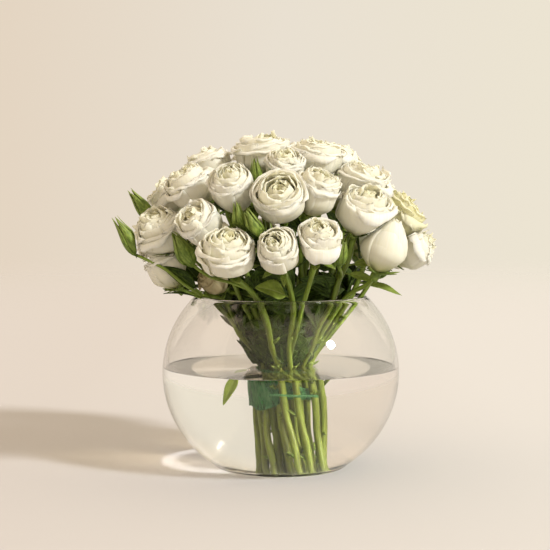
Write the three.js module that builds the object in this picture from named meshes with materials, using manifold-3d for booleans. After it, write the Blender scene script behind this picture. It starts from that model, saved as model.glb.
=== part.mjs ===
// Floral table centerpiece: spray roses in a round glass bowl, half filled with water.
// Units are millimetres, +Z is up, the bowl's foot stands on Z = 0 and the bowl's axis is the Z axis.
// The front, the side that is seen first, faces -Y.
//
// The flowers sit on a low dome. Each flower has a place on it, given by three numbers: `turn`, the angle
// round the bowl from the front towards +X; `rise`, the angle above the dome's centre; and `out`, a share
// of the dome's radius. `face` is the turn and rise that the flower looks towards.
// A spray is one cut stem with the flowers and buds that fork from it. It is one green solid, and the
// petals of each flower are one pale solid that sits on its green cup.
import * as THREE from "three";
import { mergeVertices } from "three/addons/utils/BufferGeometryUtils.js";
import Module from "manifold-3d";

const wasm = await Module();
wasm.setup();

// ---- Driving dimensions ----------------------------------------------------------------------
const BOWL_RADIUS = 100; // at the widest place
const BOWL_RISE = 94; // upright half axis of the bowl's ellipse
const BOWL_WAIST = 80; // height of the widest place
const BOWL_HEIGHT = 145;
const BOWL_WALL = 2.6;
const BOWL_FLOOR = 5.5; // glass under the water
const FOOT_ROUNDING = 4;
const BOWL_SIDES = 32;
const OUTER_WALL_ROWS = 7;
const DRY_WALL_ROWS = 3;
const WET_WALL_ROWS = 4;
const WATER_LEVEL = 86;
const GAP = 0.3; // between pieces that touch
const HOLE_CLEARANCE = 1.4 * GAP; // round a stem at its corners, which leaves GAP at its flats

const HOLLOW_FLOOR_RADIUS = 46; // of the flat inside of the bowl's floor
const HOLLOW_CORNER_HEIGHT = 13; // where its round corner meets the wall

const DOME_CENTRE = new THREE.Vector3(0, 0, 165);
const DOME_RADIUS = new THREE.Vector3(109, 109, 103);
const LOWEST_RISE = 9; // degrees, the mean of the lowest sprays' flowers
const NEIGHBOUR_REACH = 16; // heads further apart than this do not press on each other

const STEM_RADIUS = 2.8;
const BRANCH_RADIUS = 1.9;
const BUD_STALK_RADIUS = 1.3;
const STEM_SIDES = 5;
const BUD_STALK_SIDES = 4;
const STALK_STEPS = 3; // straight lengths in the bend from the bowl's mouth to a flower
const STEM_SPACING = 2 * STEM_RADIUS + 1.1; // least distance between two stems' centres in the bundle
const FORK_POINT = 3; // of the main stem's points, where its side stalks leave it
const NECK_HEIGHT = 88; // where the stems are gathered closest, just above the water
const PARTING_ROUNDS = 300; // of pushing the stems apart in the bundle
const BUNDLE_RADIUS = 23; // of the outer stems' centres at the neck
const BUNDLE_SHIFT = 5; // the bundle stands this far to the right of the bowl's axis
const BUNDLE_TWIST = 30; // degrees that the stems turn from the neck down to their cut ends
const FAN_RADIUS = 60; // of the outer stems' centres at the bowl's mouth
const FAN_SHIFT = 2;

const SEPALS = 5;
const CUP_HEIGHT = 8; // green cup under each flower
const CUP_RADIUS = 4.2;
const BUD_CUP_HEIGHT = 5;

const LEAF_THICKNESS = 0.9;
const LEAF_FOLD = 0.06; // how far its edges stand over the keel, in shares of its width
const LEAF_SAG = 0.16; // how far a leaf's tip hangs, in shares of its length

const TAPE_CENTRE = new THREE.Vector2(-4.5, 3); // in the bundle, with the front right stems outside
const TAPE_RADIUS = 21;
const TAPE_MIDDLE = 68; // height of the tape's middle
const TAPE_HEIGHT = 20;
const TAPE_NARROW_HEIGHT = 7; // where the tape is bunched together
const TAPE_NARROW_TURN = -30; // degrees from +X in the bundle
const TAPE_THICKNESS = 0.8;
const TAPE_SIDES = 16;
// From the middle of the tape to the middle of a stem, which leans and so is a little wider when cut level.
const TAPE_CLEARANCE = 1.06 * STEM_RADIUS + TAPE_THICKNESS / 2 + 2.5 * GAP;

// ---- Colours ---------------------------------------------------------------------------------
const finish = (color, roughness, more = {}) =>
  new THREE.MeshStandardMaterial({ color, roughness, metalness: 0, ...more });
const GLASS = finish(0xf3f1ea, 0.03, { transparent: true, opacity: 0.25 });
const WATER = finish(0xece6d8, 0.02, { transparent: true, opacity: 0.35 });
const PETAL = finish(0xf3efd9, 0.55);
const STEM = finish(0x6f8a35, 0.5);
const TAPE = finish(0x3f7d5c, 0.4);

// ---- The sprays ------------------------------------------------------------------------------
// A flower has a place [turn, rise, out], a face [turn, rise], a width, a height and how far it is open.
const flower = (place, face, width, height, open) => ({ place, face, width, height, open });
const bud = (place, face, width, height) => ({ place, face, width, height, bud: true });
// A leaf grows from the spray's main stem at the height `from`, along a heading, with its face to another.
const leaf = (from, along, face, length, width) => ({ from, along, face, length, width });

const SPRAYS = {
  front_left_low: {
    flowers: [
      flower([-22, 11, 1], [-10, 52], 48, 36, 0.8),
      flower([-34, -5, 0.93], [-28, 6], 34, 32, 0.35),
    ],
    buds: [bud([-47, 11, 0.99], [-62, 58], 15, 26)],
  },
  front_low: {
    flowers: [
      flower([-1, 10, 1], [-8, 32], 37, 38, 0.4),
      flower([16, 16, 1.02], [8, 50], 37, 36, 0.55),
    ],
    leaves: [leaf(146, [-59, 27], [0, 40], 38, 20)],
  },
  front_right: {
    flowers: [
      flower([45, 27, 0.99], [32, 66], 48, 42, 0.65),
      flower([50, 8, 1], [92, 14], 42, 40, 0.2),
    ],
    buds: [bud([31, 3, 0.86], [24, 62], 11, 20)],
    leaves: [leaf(168, [86, -26], [0, 60], 38, 9)],
  },
  right_side: {
    flowers: [
      flower([86, 26, 1.02], [78, 42], 44, 36, 0.75),
      flower([84, 7, 1.03], [86, 18], 38, 38, 0.45),
    ],
    leaves: [leaf(156, [96, -8], [90, 80], 40, 15)],
  },
  front_left: {
    flowers: [
      flower([-32, 42, 1], [-20, 46], 40, 42, 0.45),
      flower([-39, 24, 1], [-40, 36], 38, 36, 0.6),
    ],
    buds: [
      bud([-20, 27, 0.98], [-30, 72], 13, 27),
      bud([-12, 23, 1.02], [-44, 56], 15, 25),
    ],
  },
  front_middle: {
    flowers: [
      flower([-1, 36, 1.01], [-8, 28], 47, 38, 0.75),
      flower([4, 60, 0.97], [5, 58], 34, 32, 0.7),
    ],
  },
  upper_right: {
    flowers: [
      flower([20, 41, 0.98], [40, 60], 40, 38, 0.5),
      flower([44, 66, 1.01], [22, 74], 48, 36, 0.85),
    ],
  },
  right_shoulder: {
    flowers: [flower([58, 46, 1], [46, 64], 47, 37, 0.8)],
    buds: [bud([84, 46, 0.98], [84, 44], 13, 24)],
  },
  left_low: {
    flowers: [
      flower([-71, 20, 1], [-40, 60], 47, 42, 0.55),
      flower([-62, 0, 0.98], [-84, 2], 38, 36, 0.4),
    ],
    buds: [bud([-72, 14, 1.24], [-80, 56], 15, 32)],
    leaves: [leaf(152, [-60, 50], [20, 10], 42, 15), leaf(148, [-84, 14], [0, 84], 38, 11)],
  },
  left_side: {
    flowers: [
      flower([-101, 16, 1.04], [-100, 24], 42, 36, 0.6),
      flower([-94, 35, 1.04], [-90, 42], 42, 34, 0.65),
    ],
    buds: [bud([-85, 27, 1.21], [-86, 52], 13, 27)],
    leaves: [leaf(150, [-104, 6], [-100, 80], 40, 16), leaf(112, [-60, -30], [-50, 50], 30, 16)],
  },
  left_shoulder: {
    flowers: [
      flower([-92, 57, 1], [-90, 62], 45, 35, 0.75),
      flower([-63, 42, 1.01], [-66, 56], 43, 36, 0.65),
    ],
  },
  crown: {
    flowers: [flower([-66, 81, 0.99], [0, 70], 52, 33, 0.85)],
    buds: [bud([-17, 52, 1.0], [-10, 66], 12, 24)],
  },
  back_right_low: {
    flowers: [
      flower([110, 12, 1], [108, 24], 44, 37, 0.6),
      flower([109, 36, 1], [110, 42], 45, 36, 0.7),
    ],
    leaves: [leaf(152, [118, 8], [115, 80], 42, 17)],
  },
  back_right: {
    flowers: [
      flower([136, 13, 1], [138, 28], 46, 36, 0.75),
      flower([139, 38, 1], [142, 46], 44, 37, 0.6),
    ],
    buds: [bud([123, 1, 1.02], [124, 34], 14, 26)],
    leaves: [leaf(150, [150, 14], [150, 80], 40, 16)],
  },
  back_middle: {
    flowers: [
      flower([163, 10, 1], [160, 20], 42, 38, 0.45),
      flower([169, 35, 1], [170, 44], 47, 36, 0.8),
    ],
    leaves: [leaf(150, [176, 4], [175, 80], 42, 18)],
  },
  back_left_middle: {
    flowers: [
      flower([-170, 12, 1], [-172, 30], 45, 37, 0.65),
      flower([-160, 38, 1], [-158, 48], 43, 37, 0.55),
    ],
    buds: [bud([176, 24, 1.04], [176, 40], 13, 25)],
    leaves: [leaf(148, [-156, 6], [-156, 80], 38, 15)],
  },
  back_left: {
    flowers: [
      flower([-145, 10, 1], [-144, 22], 44, 37, 0.6),
      flower([-128, 35, 1], [-126, 44], 46, 36, 0.75),
    ],
    leaves: [leaf(150, [-132, 10], [-130, 80], 42, 17)],
  },
  back_left_low: {
    flowers: [flower([-122, 12, 1.01], [-120, 24], 43, 38, 0.5)],
    buds: [bud([-110, -1, 1.02], [-108, 30], 14, 26)],
  },
  back_crown_right: {
    flowers: [flower([116, 62, 1], [112, 66], 47, 35, 0.8)],
    buds: [bud([148, 57, 1], [150, 58], 13, 24)],
  },
  back_crown_left: {
    flowers: [flower([-163, 62, 1], [-168, 66], 47, 36, 0.75)],
  },
};

// ---- Directions and places -------------------------------------------------------------------
const { degToRad, lerp, clamp } = THREE.MathUtils;
const GOLDEN_ANGLE = Math.PI * (3 - Math.sqrt(5));
const vec = (x, y, z) => new THREE.Vector3(x, y, z);
const counted = (count, make) => Array.from({ length: count }, (_, i) => make(i));

// The unit vector at [turn, rise].
function heading([turn, rise]) {
  const t = degToRad(turn);
  const r = degToRad(rise);
  return vec(Math.sin(t) * Math.cos(r), -Math.cos(t) * Math.cos(r), Math.sin(r));
}

// A flower or bud with its own frame: `base` is where its green cup ends, and `axis` is its facing.
let settledHeads = 0;
function settle(head) {
  const axis = heading(head.face);
  const centre = heading(head.place).multiplyScalar(head.place[2]).multiply(DOME_RADIUS).add(DOME_CENTRE);
  const side = vec(0, 1, 0).cross(axis).normalize();
  side.applyAxisAngle(axis, settledHeads++ * GOLDEN_ANGLE);
  const across = axis.clone().cross(side);
  const base = centre.clone().addScaledVector(axis, -head.height / 2);
  return { ...head, axis, side, across, centre, base, radius: head.width / 2 };
}

const sprays = Object.entries(SPRAYS).map(([name, { flowers, buds = [], leaves = [] }]) => ({
  name,
  flowers: flowers.map(settle),
  buds: buds.map(settle),
  leaves,
}));
const heads = sprays.flatMap((spray) => [...spray.flowers, ...spray.buds]);

// Neighbouring heads press on each other. Each pair is parted by a plane, at its share of the way between
// the two centres, and what reaches towards the plane is squeezed so that it stops short of it.
const FREE_SHARE = 0.5; // of the way to the plane, which keeps its shape
for (const head of heads) {
  head.walls = [];
  for (const other of heads) {
    const apart = head.centre.distanceTo(other.centre);
    if (other === head || apart > head.radius + other.radius + NEIGHBOUR_REACH) continue;
    const limit = (apart ** 2 + head.radius ** 2 - other.radius ** 2) / (2 * apart) - GAP;
    head.walls.push({ normal: other.centre.clone().sub(head.centre).divideScalar(apart), limit });
  }
}

function squeeze(point, head) {
  for (const { normal, limit } of head.walls) {
    const reach = point.clone().sub(head.centre).dot(normal);
    const free = FREE_SHARE * limit;
    if (reach <= free) continue;
    const held = free + (limit - free) * Math.tanh((reach - free) / (limit - free));
    point.addScaledVector(normal, held - reach);
  }
  return point;
}

// A point of a head's own frame, at radius r, angle a and height z above its base.
function placed(head, r, a, z) {
  const point = head.base
    .clone()
    .addScaledVector(head.side, r * Math.cos(a))
    .addScaledVector(head.across, r * Math.sin(a))
    .addScaledVector(head.axis, z);
  return squeeze(point, head);
}

// ---- Solids ----------------------------------------------------------------------------------
function solidOf(geometry) {
  const bare = new THREE.BufferGeometry();
  bare.setAttribute("position", geometry.getAttribute("position")).setIndex(geometry.getIndex());
  const merged = mergeVertices(bare, 1e-4);
  const vertProperties = merged.getAttribute("position").array;
  const triVerts = new Uint32Array(merged.getIndex().array);
  return new wasm.Manifold(new wasm.Mesh({ numProp: 3, vertProperties, triVerts }));
}

function geometryOf(solid) {
  const { numVert, numProp, vertProperties, triVerts } = solid.getMesh();
  const positions = new Float32Array(numVert * 3);
  for (let i = 0; i < numVert; i++) {
    positions.set(vertProperties.subarray(i * numProp, i * numProp + 3), i * 3);
  }
  return new THREE.BufferGeometry()
    .setAttribute("position", new THREE.BufferAttribute(positions, 3))
    .setIndex(new THREE.BufferAttribute(triVerts, 1));
}

const joined = (geometries) => wasm.Manifold.union(geometries.map(solidOf));

// A closed skin over rings of points. The rings run from the point `first` to the point `last`, and each
// turns anticlockwise as seen from `last`.
function loft(first, rings, last) {
  const around = rings[0].length;
  const at = (ring, i) => 1 + ring * around + (i % around);
  const end = 1 + rings.length * around;
  const faces = [];
  for (let i = 0; i < around; i++) {
    faces.push(0, at(0, i + 1), at(0, i));
    for (let k = 0; k + 1 < rings.length; k++) {
      faces.push(at(k, i), at(k, i + 1), at(k + 1, i + 1));
      faces.push(at(k, i), at(k + 1, i + 1), at(k + 1, i));
    }
    faces.push(end, at(rings.length - 1, i), at(rings.length - 1, i + 1));
  }
  return new THREE.BufferGeometry().setFromPoints([first, ...rings.flat(), last]).setIndex(faces);
}

// A way through a list of points, straight from each to the next. It is stepped through evenly by its
// points, so that each step of an extrusion along it ends on one.
class Route extends THREE.Curve {
  constructor(points) {
    super();
    this.points = points;
  }
  getPoint(t, target = new THREE.Vector3()) {
    const along = clamp(t, 0, 1) * (this.points.length - 1);
    const i = Math.min(Math.floor(along), this.points.length - 2);
    return target.lerpVectors(this.points[i], this.points[i + 1], along - i);
  }
  getUtoTmapping(u) {
    return u;
  }
}

// A round stem along a list of points.
function stem(points, radius, sides = STEM_SIDES) {
  const corners = counted(sides, (i) => {
    const a = (2 * Math.PI * i) / sides;
    return new THREE.Vector2(radius * Math.cos(a), radius * Math.sin(a));
  });
  return new THREE.ExtrudeGeometry(new THREE.Shape(corners), {
    steps: points.length - 1,
    extrudePath: new Route(points),
  });
}

// ---- The bowl and its water ------------------------------------------------------------------
// The bowl is an upright ellipse turned about Z and cut level at the foot and the mouth.
const shellRadius = (z, inset) =>
  (BOWL_RADIUS - inset) * Math.sqrt(1 - ((z - BOWL_WAIST) / (BOWL_RISE - inset)) ** 2);

const wall = (from, to, inset, count) =>
  counted(count + 1, (i) => {
    const z = lerp(from, to, i / count);
    return new THREE.Vector2(shellRadius(z, inset), z);
  });

// The hollow up to the water line: a flat floor, and a round corner up to the wall. With an inset it is
// the water's own outline.
const hollow = (inset) => [
  new THREE.Vector2(0, BOWL_FLOOR + inset),
  new THREE.Vector2(HOLLOW_FLOOR_RADIUS, BOWL_FLOOR + inset),
  ...wall(HOLLOW_CORNER_HEIGHT, WATER_LEVEL, BOWL_WALL + inset, WET_WALL_ROWS),
];

const turned = (profile) => new THREE.LatheGeometry(profile, BOWL_SIDES).rotateX(Math.PI / 2);

function bowl() {
  const rimStart = BOWL_HEIGHT - BOWL_WALL / 2;
  const foot = shellRadius(FOOT_ROUNDING, 0);
  const profile = [
    new THREE.Vector2(0, 0),
    new THREE.Vector2(foot - 1.6 * FOOT_ROUNDING, 0),
    new THREE.Vector2(foot - 0.4 * FOOT_ROUNDING, 0.35 * FOOT_ROUNDING),
    ...wall(FOOT_ROUNDING, rimStart, 0, OUTER_WALL_ROWS),
    new THREE.Vector2(shellRadius(BOWL_HEIGHT, BOWL_WALL / 2), BOWL_HEIGHT),
    ...wall(WATER_LEVEL, rimStart, BOWL_WALL, DRY_WALL_ROWS).slice(1).reverse(),
    ...hollow(0).reverse(),
  ];
  return turned(profile);
}

function water() {
  const profile = [...hollow(GAP), new THREE.Vector2(0, WATER_LEVEL)];
  const holes = sprays.map((spray) => stem(spray.main, STEM_RADIUS + HOLE_CLEARANCE));
  const bodies = solidOf(turned(profile)).subtract(joined([...holes, tape(GAP)])).decompose();
  return bodies.reduce((a, b) => (a.volume() > b.volume() ? a : b));
}

// ---- A rose's petals -------------------------------------------------------------------------
// Five petals to a layer. Each has three columns of points: the edge that is tucked under its neighbour,
// the middle, which stands highest, and the edge that lies over the next petal.
const PETALS_PER_LAYER = 5;
const PETAL_COLUMNS = [
  { out: 0.91, drop: 0.05 },
  { out: 1.03, drop: -0.02 },
  { out: 1.06, drop: 0.05 },
];

// From the underside over the lips of three layers, with grooves between them, to the heart. Radii are in
// shares of half the width, heights in shares of the height. `lobed` is how far the petals stand apart.
// A layer starts one column further round than the layer outside it.
function petalRows(open) {
  return [
    { r: 0.24, z: 0, layer: 0, lobed: 0 },
    { r: lerp(0.86, 0.79, open), z: 0.22, layer: 0, lobed: 0.4 },
    { r: lerp(0.94, 1, open), z: lerp(0.84, 0.74, open), layer: 0, lobed: 1 },
    { r: lerp(0.66, 0.72, open), z: 0.62, layer: 1, lobed: 0.4 },
    { r: lerp(0.62, 0.7, open), z: lerp(0.98, 0.92, open), layer: 1, lobed: 1 },
    { r: 0.4, z: 0.74, layer: 2, lobed: 0.4 },
    { r: lerp(0.36, 0.42, open), z: 1, layer: 2, lobed: 0.8 },
  ];
}

function rose(head) {
  const columns = PETALS_PER_LAYER * PETAL_COLUMNS.length;
  const rings = petalRows(head.open).map(({ r, z, layer, lobed }) =>
    counted(columns, (i) => {
      const { out, drop } = PETAL_COLUMNS[(i + layer) % PETAL_COLUMNS.length];
      const reach = r * lerp(1, out, lobed) * head.radius;
      return placed(head, reach, (2 * Math.PI * i) / columns, z * (1 - drop * lobed) * head.height);
    }),
  );
  return loft(placed(head, 0, 0, 0), rings, placed(head, 0, 0, 0.86 * head.height));
}

// ---- Green parts -----------------------------------------------------------------------------
// Rows of a ring with a ridge and a seam by turns, for the five sepals of a cup or a bud.
function sepalRings(head, rows) {
  return rows.map(({ ridge, seam }) =>
    counted(2 * SEPALS, (i) => {
      const [r, z] = i % 2 ? seam : ridge;
      return placed(head, r, (Math.PI * i) / SEPALS, z);
    }),
  );
}

// The urn-shaped cup under a flower, with its five sepals spread as a star and bent back.
function cup(head) {
  const droop = lerp(1, 5.5, head.open);
  const rows = [
    { ridge: [CUP_RADIUS, -0.55 * CUP_HEIGHT], seam: [CUP_RADIUS, -0.55 * CUP_HEIGHT] },
    { ridge: [0.78 * head.radius, -2 - droop], seam: [0.95 * CUP_RADIUS, -1.5] },
    { ridge: [0.45 * head.radius, -0.6 - 0.25 * droop], seam: [0.8 * CUP_RADIUS, -0.7] },
  ];
  return loft(placed(head, 0, 0, -CUP_HEIGHT), sepalRings(head, rows), placed(head, 0, 0, -GAP));
}

// A closed bud in its five sepals, on a cup of its own.
function closedBud(head) {
  const { radius, height } = head;
  const rows = [
    { ridge: [0.5 * radius, -0.3 * BUD_CUP_HEIGHT], seam: [0.5 * radius, -0.3 * BUD_CUP_HEIGHT] },
    { ridge: [radius, 0.3 * height], seam: [0.82 * radius, 0.3 * height] },
    { ridge: [0.6 * radius, 0.66 * height], seam: [0.45 * radius, 0.66 * height] },
  ];
  return loft(placed(head, 0, 0, -BUD_CUP_HEIGHT), sepalRings(head, rows), placed(head, 0, 0, height));
}

// A leaf with a cut edge, from inside the stem out to its tip. Its rings have two edges and a keel.
const LEAF_OUTLINE = [
  { t: 0, half: 0.1 },
  { t: 0.22, half: 0.1 },
  { t: 0.36, half: 0.8 },
  { t: 0.5, half: 1 },
  { t: 0.57, half: 0.84 },
  { t: 0.72, half: 0.76 },
  { t: 0.78, half: 0.5 },
];

function leafBlade(spray, { from, along, face, length, width }) {
  const root = pointAtHeight(spray.main, from);
  const axis = heading(along);
  const side = heading(face).cross(axis).normalize();
  const up = axis.clone().cross(side);
  const middle = (t) => {
    const point = root.clone().addScaledVector(axis, length * t);
    return point.setZ(point.z - LEAF_SAG * length * t * t);
  };
  const rings = LEAF_OUTLINE.map(({ t, half }) => {
    const edge = side.clone().multiplyScalar((half * width) / 2);
    const lift = up.clone().multiplyScalar(LEAF_FOLD * half * width);
    return [
      middle(t).add(edge).add(lift),
      middle(t).sub(edge).add(lift),
      middle(t).addScaledVector(up, -LEAF_THICKNESS),
    ];
  });
  return loft(middle(0), rings, middle(1));
}

// ---- Stems -----------------------------------------------------------------------------------
// The stems' places in the tied bundle have the order of the flowers on the dome, round and outwards. They
// are pushed apart there, inside the bundle and clear of the tape.
function bundlePlaces() {
  const lowest = Math.sin(degToRad(90 - LOWEST_RISE) / 2);
  const spots = sprays.map(({ flowers }) => {
    const mean = flowers.reduce((sum, { place }) => sum.add(heading(place)), vec(0, 0, 0)).normalize();
    const outwards = Math.sin(Math.acos(mean.z) / 2) / lowest;
    return new THREE.Vector2(mean.x, mean.y).setLength(Math.min(outwards, 1) * BUNDLE_RADIUS);
  });
  const shares = spots.map((spot) => spot.length() / BUNDLE_RADIUS);
  for (let round = 0; round < PARTING_ROUNDS; round++) {
    for (const a of spots) {
      for (const b of spots) partSpots(a, b);
      keepClearOfTape(a);
      a.clampLength(0, BUNDLE_RADIUS);
    }
  }
  return spots.map((spot, i) => ({ spot, share: shares[i] }));
}

function partSpots(a, b) {
  const apart = b.clone().sub(a);
  const missing = STEM_SPACING - apart.length();
  if (a === b || missing <= 0) return;
  apart.setLength(missing / 2);
  a.sub(apart);
  b.add(apart);
}

function keepClearOfTape(spot) {
  const fromTape = spot.clone().sub(TAPE_CENTRE);
  const off = fromTape.length() - TAPE_RADIUS;
  if (Math.abs(off) >= TAPE_CLEARANCE) return;
  fromTape.setLength(TAPE_RADIUS + Math.sign(off) * TAPE_CLEARANCE);
  spot.copy(TAPE_CENTRE).add(fromTape);
}

// Where a place in the bundle lies at a height, from the cut ends up to the neck. Between the two the whole
// bundle turns and draws in alike, as the straight stems lean round each other.
function inBundle(spot, z) {
  const foot = spot.clone().rotateAround(new THREE.Vector2(), degToRad(BUNDLE_TWIST));
  const at = foot.lerp(spot, (z - BOWL_FLOOR) / (NECK_HEIGHT - BOWL_FLOOR));
  return vec(at.x + BUNDLE_SHIFT, at.y, z);
}

// Points of a smooth bend that leaves `start` along `out` and comes to `end` along `into`.
function bend(start, out, end, into, count) {
  const reach = start.distanceTo(end) / 3;
  return new THREE.CubicBezierCurve3(
    start,
    start.clone().addScaledVector(out, reach),
    end.clone().addScaledVector(into, -reach),
    end,
  ).getPoints(count);
}

// A point of the way to a head that lies within another head is moved out of that one.
function bentClear(point, goal) {
  for (const head of heads) {
    if (head === goal) continue;
    const away = point.clone().sub(head.centre);
    const room = 0.5 * Math.max(head.width, head.height) + STEM_RADIUS + GAP;
    if (away.length() < room) point.copy(head.centre).add(away.setLength(room));
  }
  return point;
}

// Where a stalk ends, in the middle of a head's cup, and the way on from a point of the stem to there.
const cupMiddle = (head) => placed(head, 0, 0, head.bud ? -0.5 * BUD_CUP_HEIGHT : -0.5 * CUP_HEIGHT);

function wayTo(head, start, out) {
  const points = bend(start, out, cupMiddle(head), head.axis, STALK_STEPS);
  return points.map((point, i) => (i === 0 || i === STALK_STEPS ? point : bentClear(point, head)));
}

function routeStems() {
  const places = bundlePlaces();
  sprays.forEach((spray, i) => {
    const { spot, share } = places[i];
    const neck = inBundle(spot, NECK_HEIGHT);
    const lean = inBundle(spot, BOWL_FLOOR).sub(neck).normalize();
    const footHeight = BOWL_FLOOR + GAP + STEM_RADIUS * Math.hypot(lean.x, lean.y);
    const fan = spot.clone().setLength(share * FAN_RADIUS);
    const mouth = vec(fan.x + FAN_SHIFT, fan.y, BOWL_HEIGHT);
    const upward = mouth.clone().sub(neck).normalize();
    spray.main = [inBundle(spot, footHeight), neck, ...wayTo(spray.flowers[0], mouth, upward)];
  });
}

// Where a list of rising points passes a height.
function pointAtHeight(points, z) {
  const above = points.findIndex((point) => point.z > z);
  const [low, high] = [points[above - 1], points[above]];
  return low.clone().lerp(high, (z - low.z) / (high.z - low.z));
}

// The stalk of a spray's other head leaves the main stem at one of its points above the bowl.
function sideStalk(spray, head) {
  const start = spray.main[FORK_POINT];
  const out = spray.main[FORK_POINT + 1].clone().sub(spray.main[FORK_POINT - 1]).normalize();
  return wayTo(head, start, out);
}

function greenery(spray) {
  const parts = [stem(spray.main, STEM_RADIUS)];
  spray.flowers.forEach((flower, i) => {
    parts.push(cup(flower));
    if (i > 0) parts.push(stem(sideStalk(spray, flower), BRANCH_RADIUS));
  });
  parts.push(...spray.leaves.map((l) => leafBlade(spray, l)));
  for (const head of spray.buds) {
    parts.push(closedBud(head), stem(sideStalk(spray, head), BUD_STALK_RADIUS, BUD_STALK_SIDES));
  }
  return joined(parts);
}

// ---- The tape round the stems ----------------------------------------------------------------
// A ring of tape, grown on all its sides by `grow`. It is narrower where it runs behind the front stems.
function tape(grow = 0) {
  const half = TAPE_THICKNESS / 2 + grow;
  const rings = counted(TAPE_SIDES, (i) => {
    const a = (2 * Math.PI * i) / TAPE_SIDES;
    const facing = 0.5 + 0.5 * Math.cos(a - degToRad(TAPE_NARROW_TURN));
    const rise = lerp(TAPE_HEIGHT, TAPE_NARROW_HEIGHT, facing ** 2) / 2 + grow;
    const outward = new THREE.Vector2(Math.cos(a), Math.sin(a));
    const corner = (r, z) =>
      inBundle(TAPE_CENTRE.clone().addScaledVector(outward, TAPE_RADIUS + r), TAPE_MIDDLE + z);
    return [corner(half, -rise), corner(half, rise), corner(-half, rise), corner(-half, -rise)];
  });
  return hoop(rings);
}

// A closed skin over rings of points that follow each other round a hoop.
function hoop(rings) {
  const around = rings[0].length;
  const at = (ring, i) => (ring % rings.length) * around + (i % around);
  const faces = [];
  rings.forEach((_, k) => {
    for (let i = 0; i < around; i++) {
      faces.push(at(k, i), at(k + 1, i), at(k + 1, i + 1));
      faces.push(at(k, i), at(k + 1, i + 1), at(k, i + 1));
    }
  });
  return new THREE.BufferGeometry().setFromPoints(rings.flat()).setIndex(faces);
}

// ---- The group -------------------------------------------------------------------------------
const centerpiece = new THREE.Group();

function show(name, geometry, material) {
  const mesh = new THREE.Mesh(geometry, material);
  mesh.name = name;
  centerpiece.add(mesh);
}

routeStems();
show("bowl", bowl(), GLASS);
show("water", geometryOf(water()), WATER);
show("stem_tape", tape(), TAPE);
for (const spray of sprays) {
  show("stem_" + spray.name, geometryOf(greenery(spray)), STEM);
  spray.flowers.forEach((flower, i) => show(`rose_${spray.name}_${i + 1}`, rose(flower), PETAL));
}

export default centerpiece;
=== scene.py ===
# %% [markdown]
# # A floral table centerpiece
# Cream spray roses stand in a round glass bowl, a little over half full of water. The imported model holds
# the real sizes: a plain solid for each bloom, each green spray, the tape, the bowl and the water. This
# lesson dresses them, one piece at a time, with thin petals, veined leaves and clear glass. All shapes
# are worked out in millimetres, as a florist would measure them, and are turned to metres only when a
# mesh is made.

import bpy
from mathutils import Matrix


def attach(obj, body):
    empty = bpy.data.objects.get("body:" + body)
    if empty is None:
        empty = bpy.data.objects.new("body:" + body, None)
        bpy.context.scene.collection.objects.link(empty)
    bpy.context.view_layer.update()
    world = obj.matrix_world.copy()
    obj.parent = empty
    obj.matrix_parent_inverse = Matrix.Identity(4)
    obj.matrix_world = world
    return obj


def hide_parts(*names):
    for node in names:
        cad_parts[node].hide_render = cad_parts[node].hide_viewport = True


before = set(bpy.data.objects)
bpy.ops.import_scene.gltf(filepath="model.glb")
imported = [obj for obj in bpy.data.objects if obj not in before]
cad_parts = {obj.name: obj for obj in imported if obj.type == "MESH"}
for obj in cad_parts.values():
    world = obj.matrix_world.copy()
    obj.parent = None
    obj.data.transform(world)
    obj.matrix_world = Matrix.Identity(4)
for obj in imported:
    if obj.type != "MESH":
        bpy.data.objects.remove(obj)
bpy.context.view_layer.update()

# %% [markdown]
# ## Tools and chance
# No two petals or leaves of a bouquet are alike. Chance gives each its own shape here, drawn from one
# seeded generator, so that the bouquet comes out the same each time.

# %% The tools
import math

import bpy
import numpy as np
from mathutils import Vector

MM = 0.001  # metres
rng = np.random.default_rng(36)
print("a millimetre is", MM, "m in the scene")

# %% [markdown]
# ## The camera
# A table piece is seen from across the table, a little above its waterline. A long lens from 1.1 m
# keeps the bowl round. Its focal length comes from how many pixels wide the bowl is at that distance,
# and the small shift puts the bowl's axis where it stands in the picture.

# %% Camera
IMAGE_SIDE = 550  # pixels
FOCAL_PIXELS = 1325
AXIS_PIXEL = 280.75  # where the bowl's axis stands in the picture
SENSOR_MM = 36
CAMERA_PLACE = (0.0, -1.118, 0.222)
CAMERA_PITCH = 3.07  # degrees down


def placed(name, data):
    """A new object in the scene, from its mesh, lamp or camera."""
    thing = bpy.data.objects.new(name, data)
    bpy.context.scene.collection.objects.link(thing)
    return thing


lens = bpy.data.cameras.new("camera")
lens.sensor_width = SENSOR_MM
lens.lens = FOCAL_PIXELS / IMAGE_SIDE * SENSOR_MM
lens.shift_x = (IMAGE_SIDE / 2 - AXIS_PIXEL) / IMAGE_SIDE
camera = placed("camera", lens)
camera.location = CAMERA_PLACE
camera.rotation_euler = (math.radians(90 - CAMERA_PITCH), 0, 0)
bpy.context.scene.camera = camera
print(f"a lens of {lens.lens:.1f} mm, {-CAMERA_PLACE[1]:.2f} m away")

# %% [markdown]
# ## Helpers for materials
# A colour picked on a screen is in sRGB, and Blender reckons with linear light, so one function turns
# the one into the other. Another adds a node with its settings and links, which keeps each material
# short enough to read at a glance.

# %% Material helpers
def linear(code):
    """An sRGB hex colour as linear red, green, blue and alpha."""
    shares = [int(code[i : i + 2], 16) / 255 for i in (1, 3, 5)]
    return [s / 12.92 if s <= 0.04045 else ((s + 0.055) / 1.055) ** 2.4 for s in shares] + [1.0]


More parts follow.
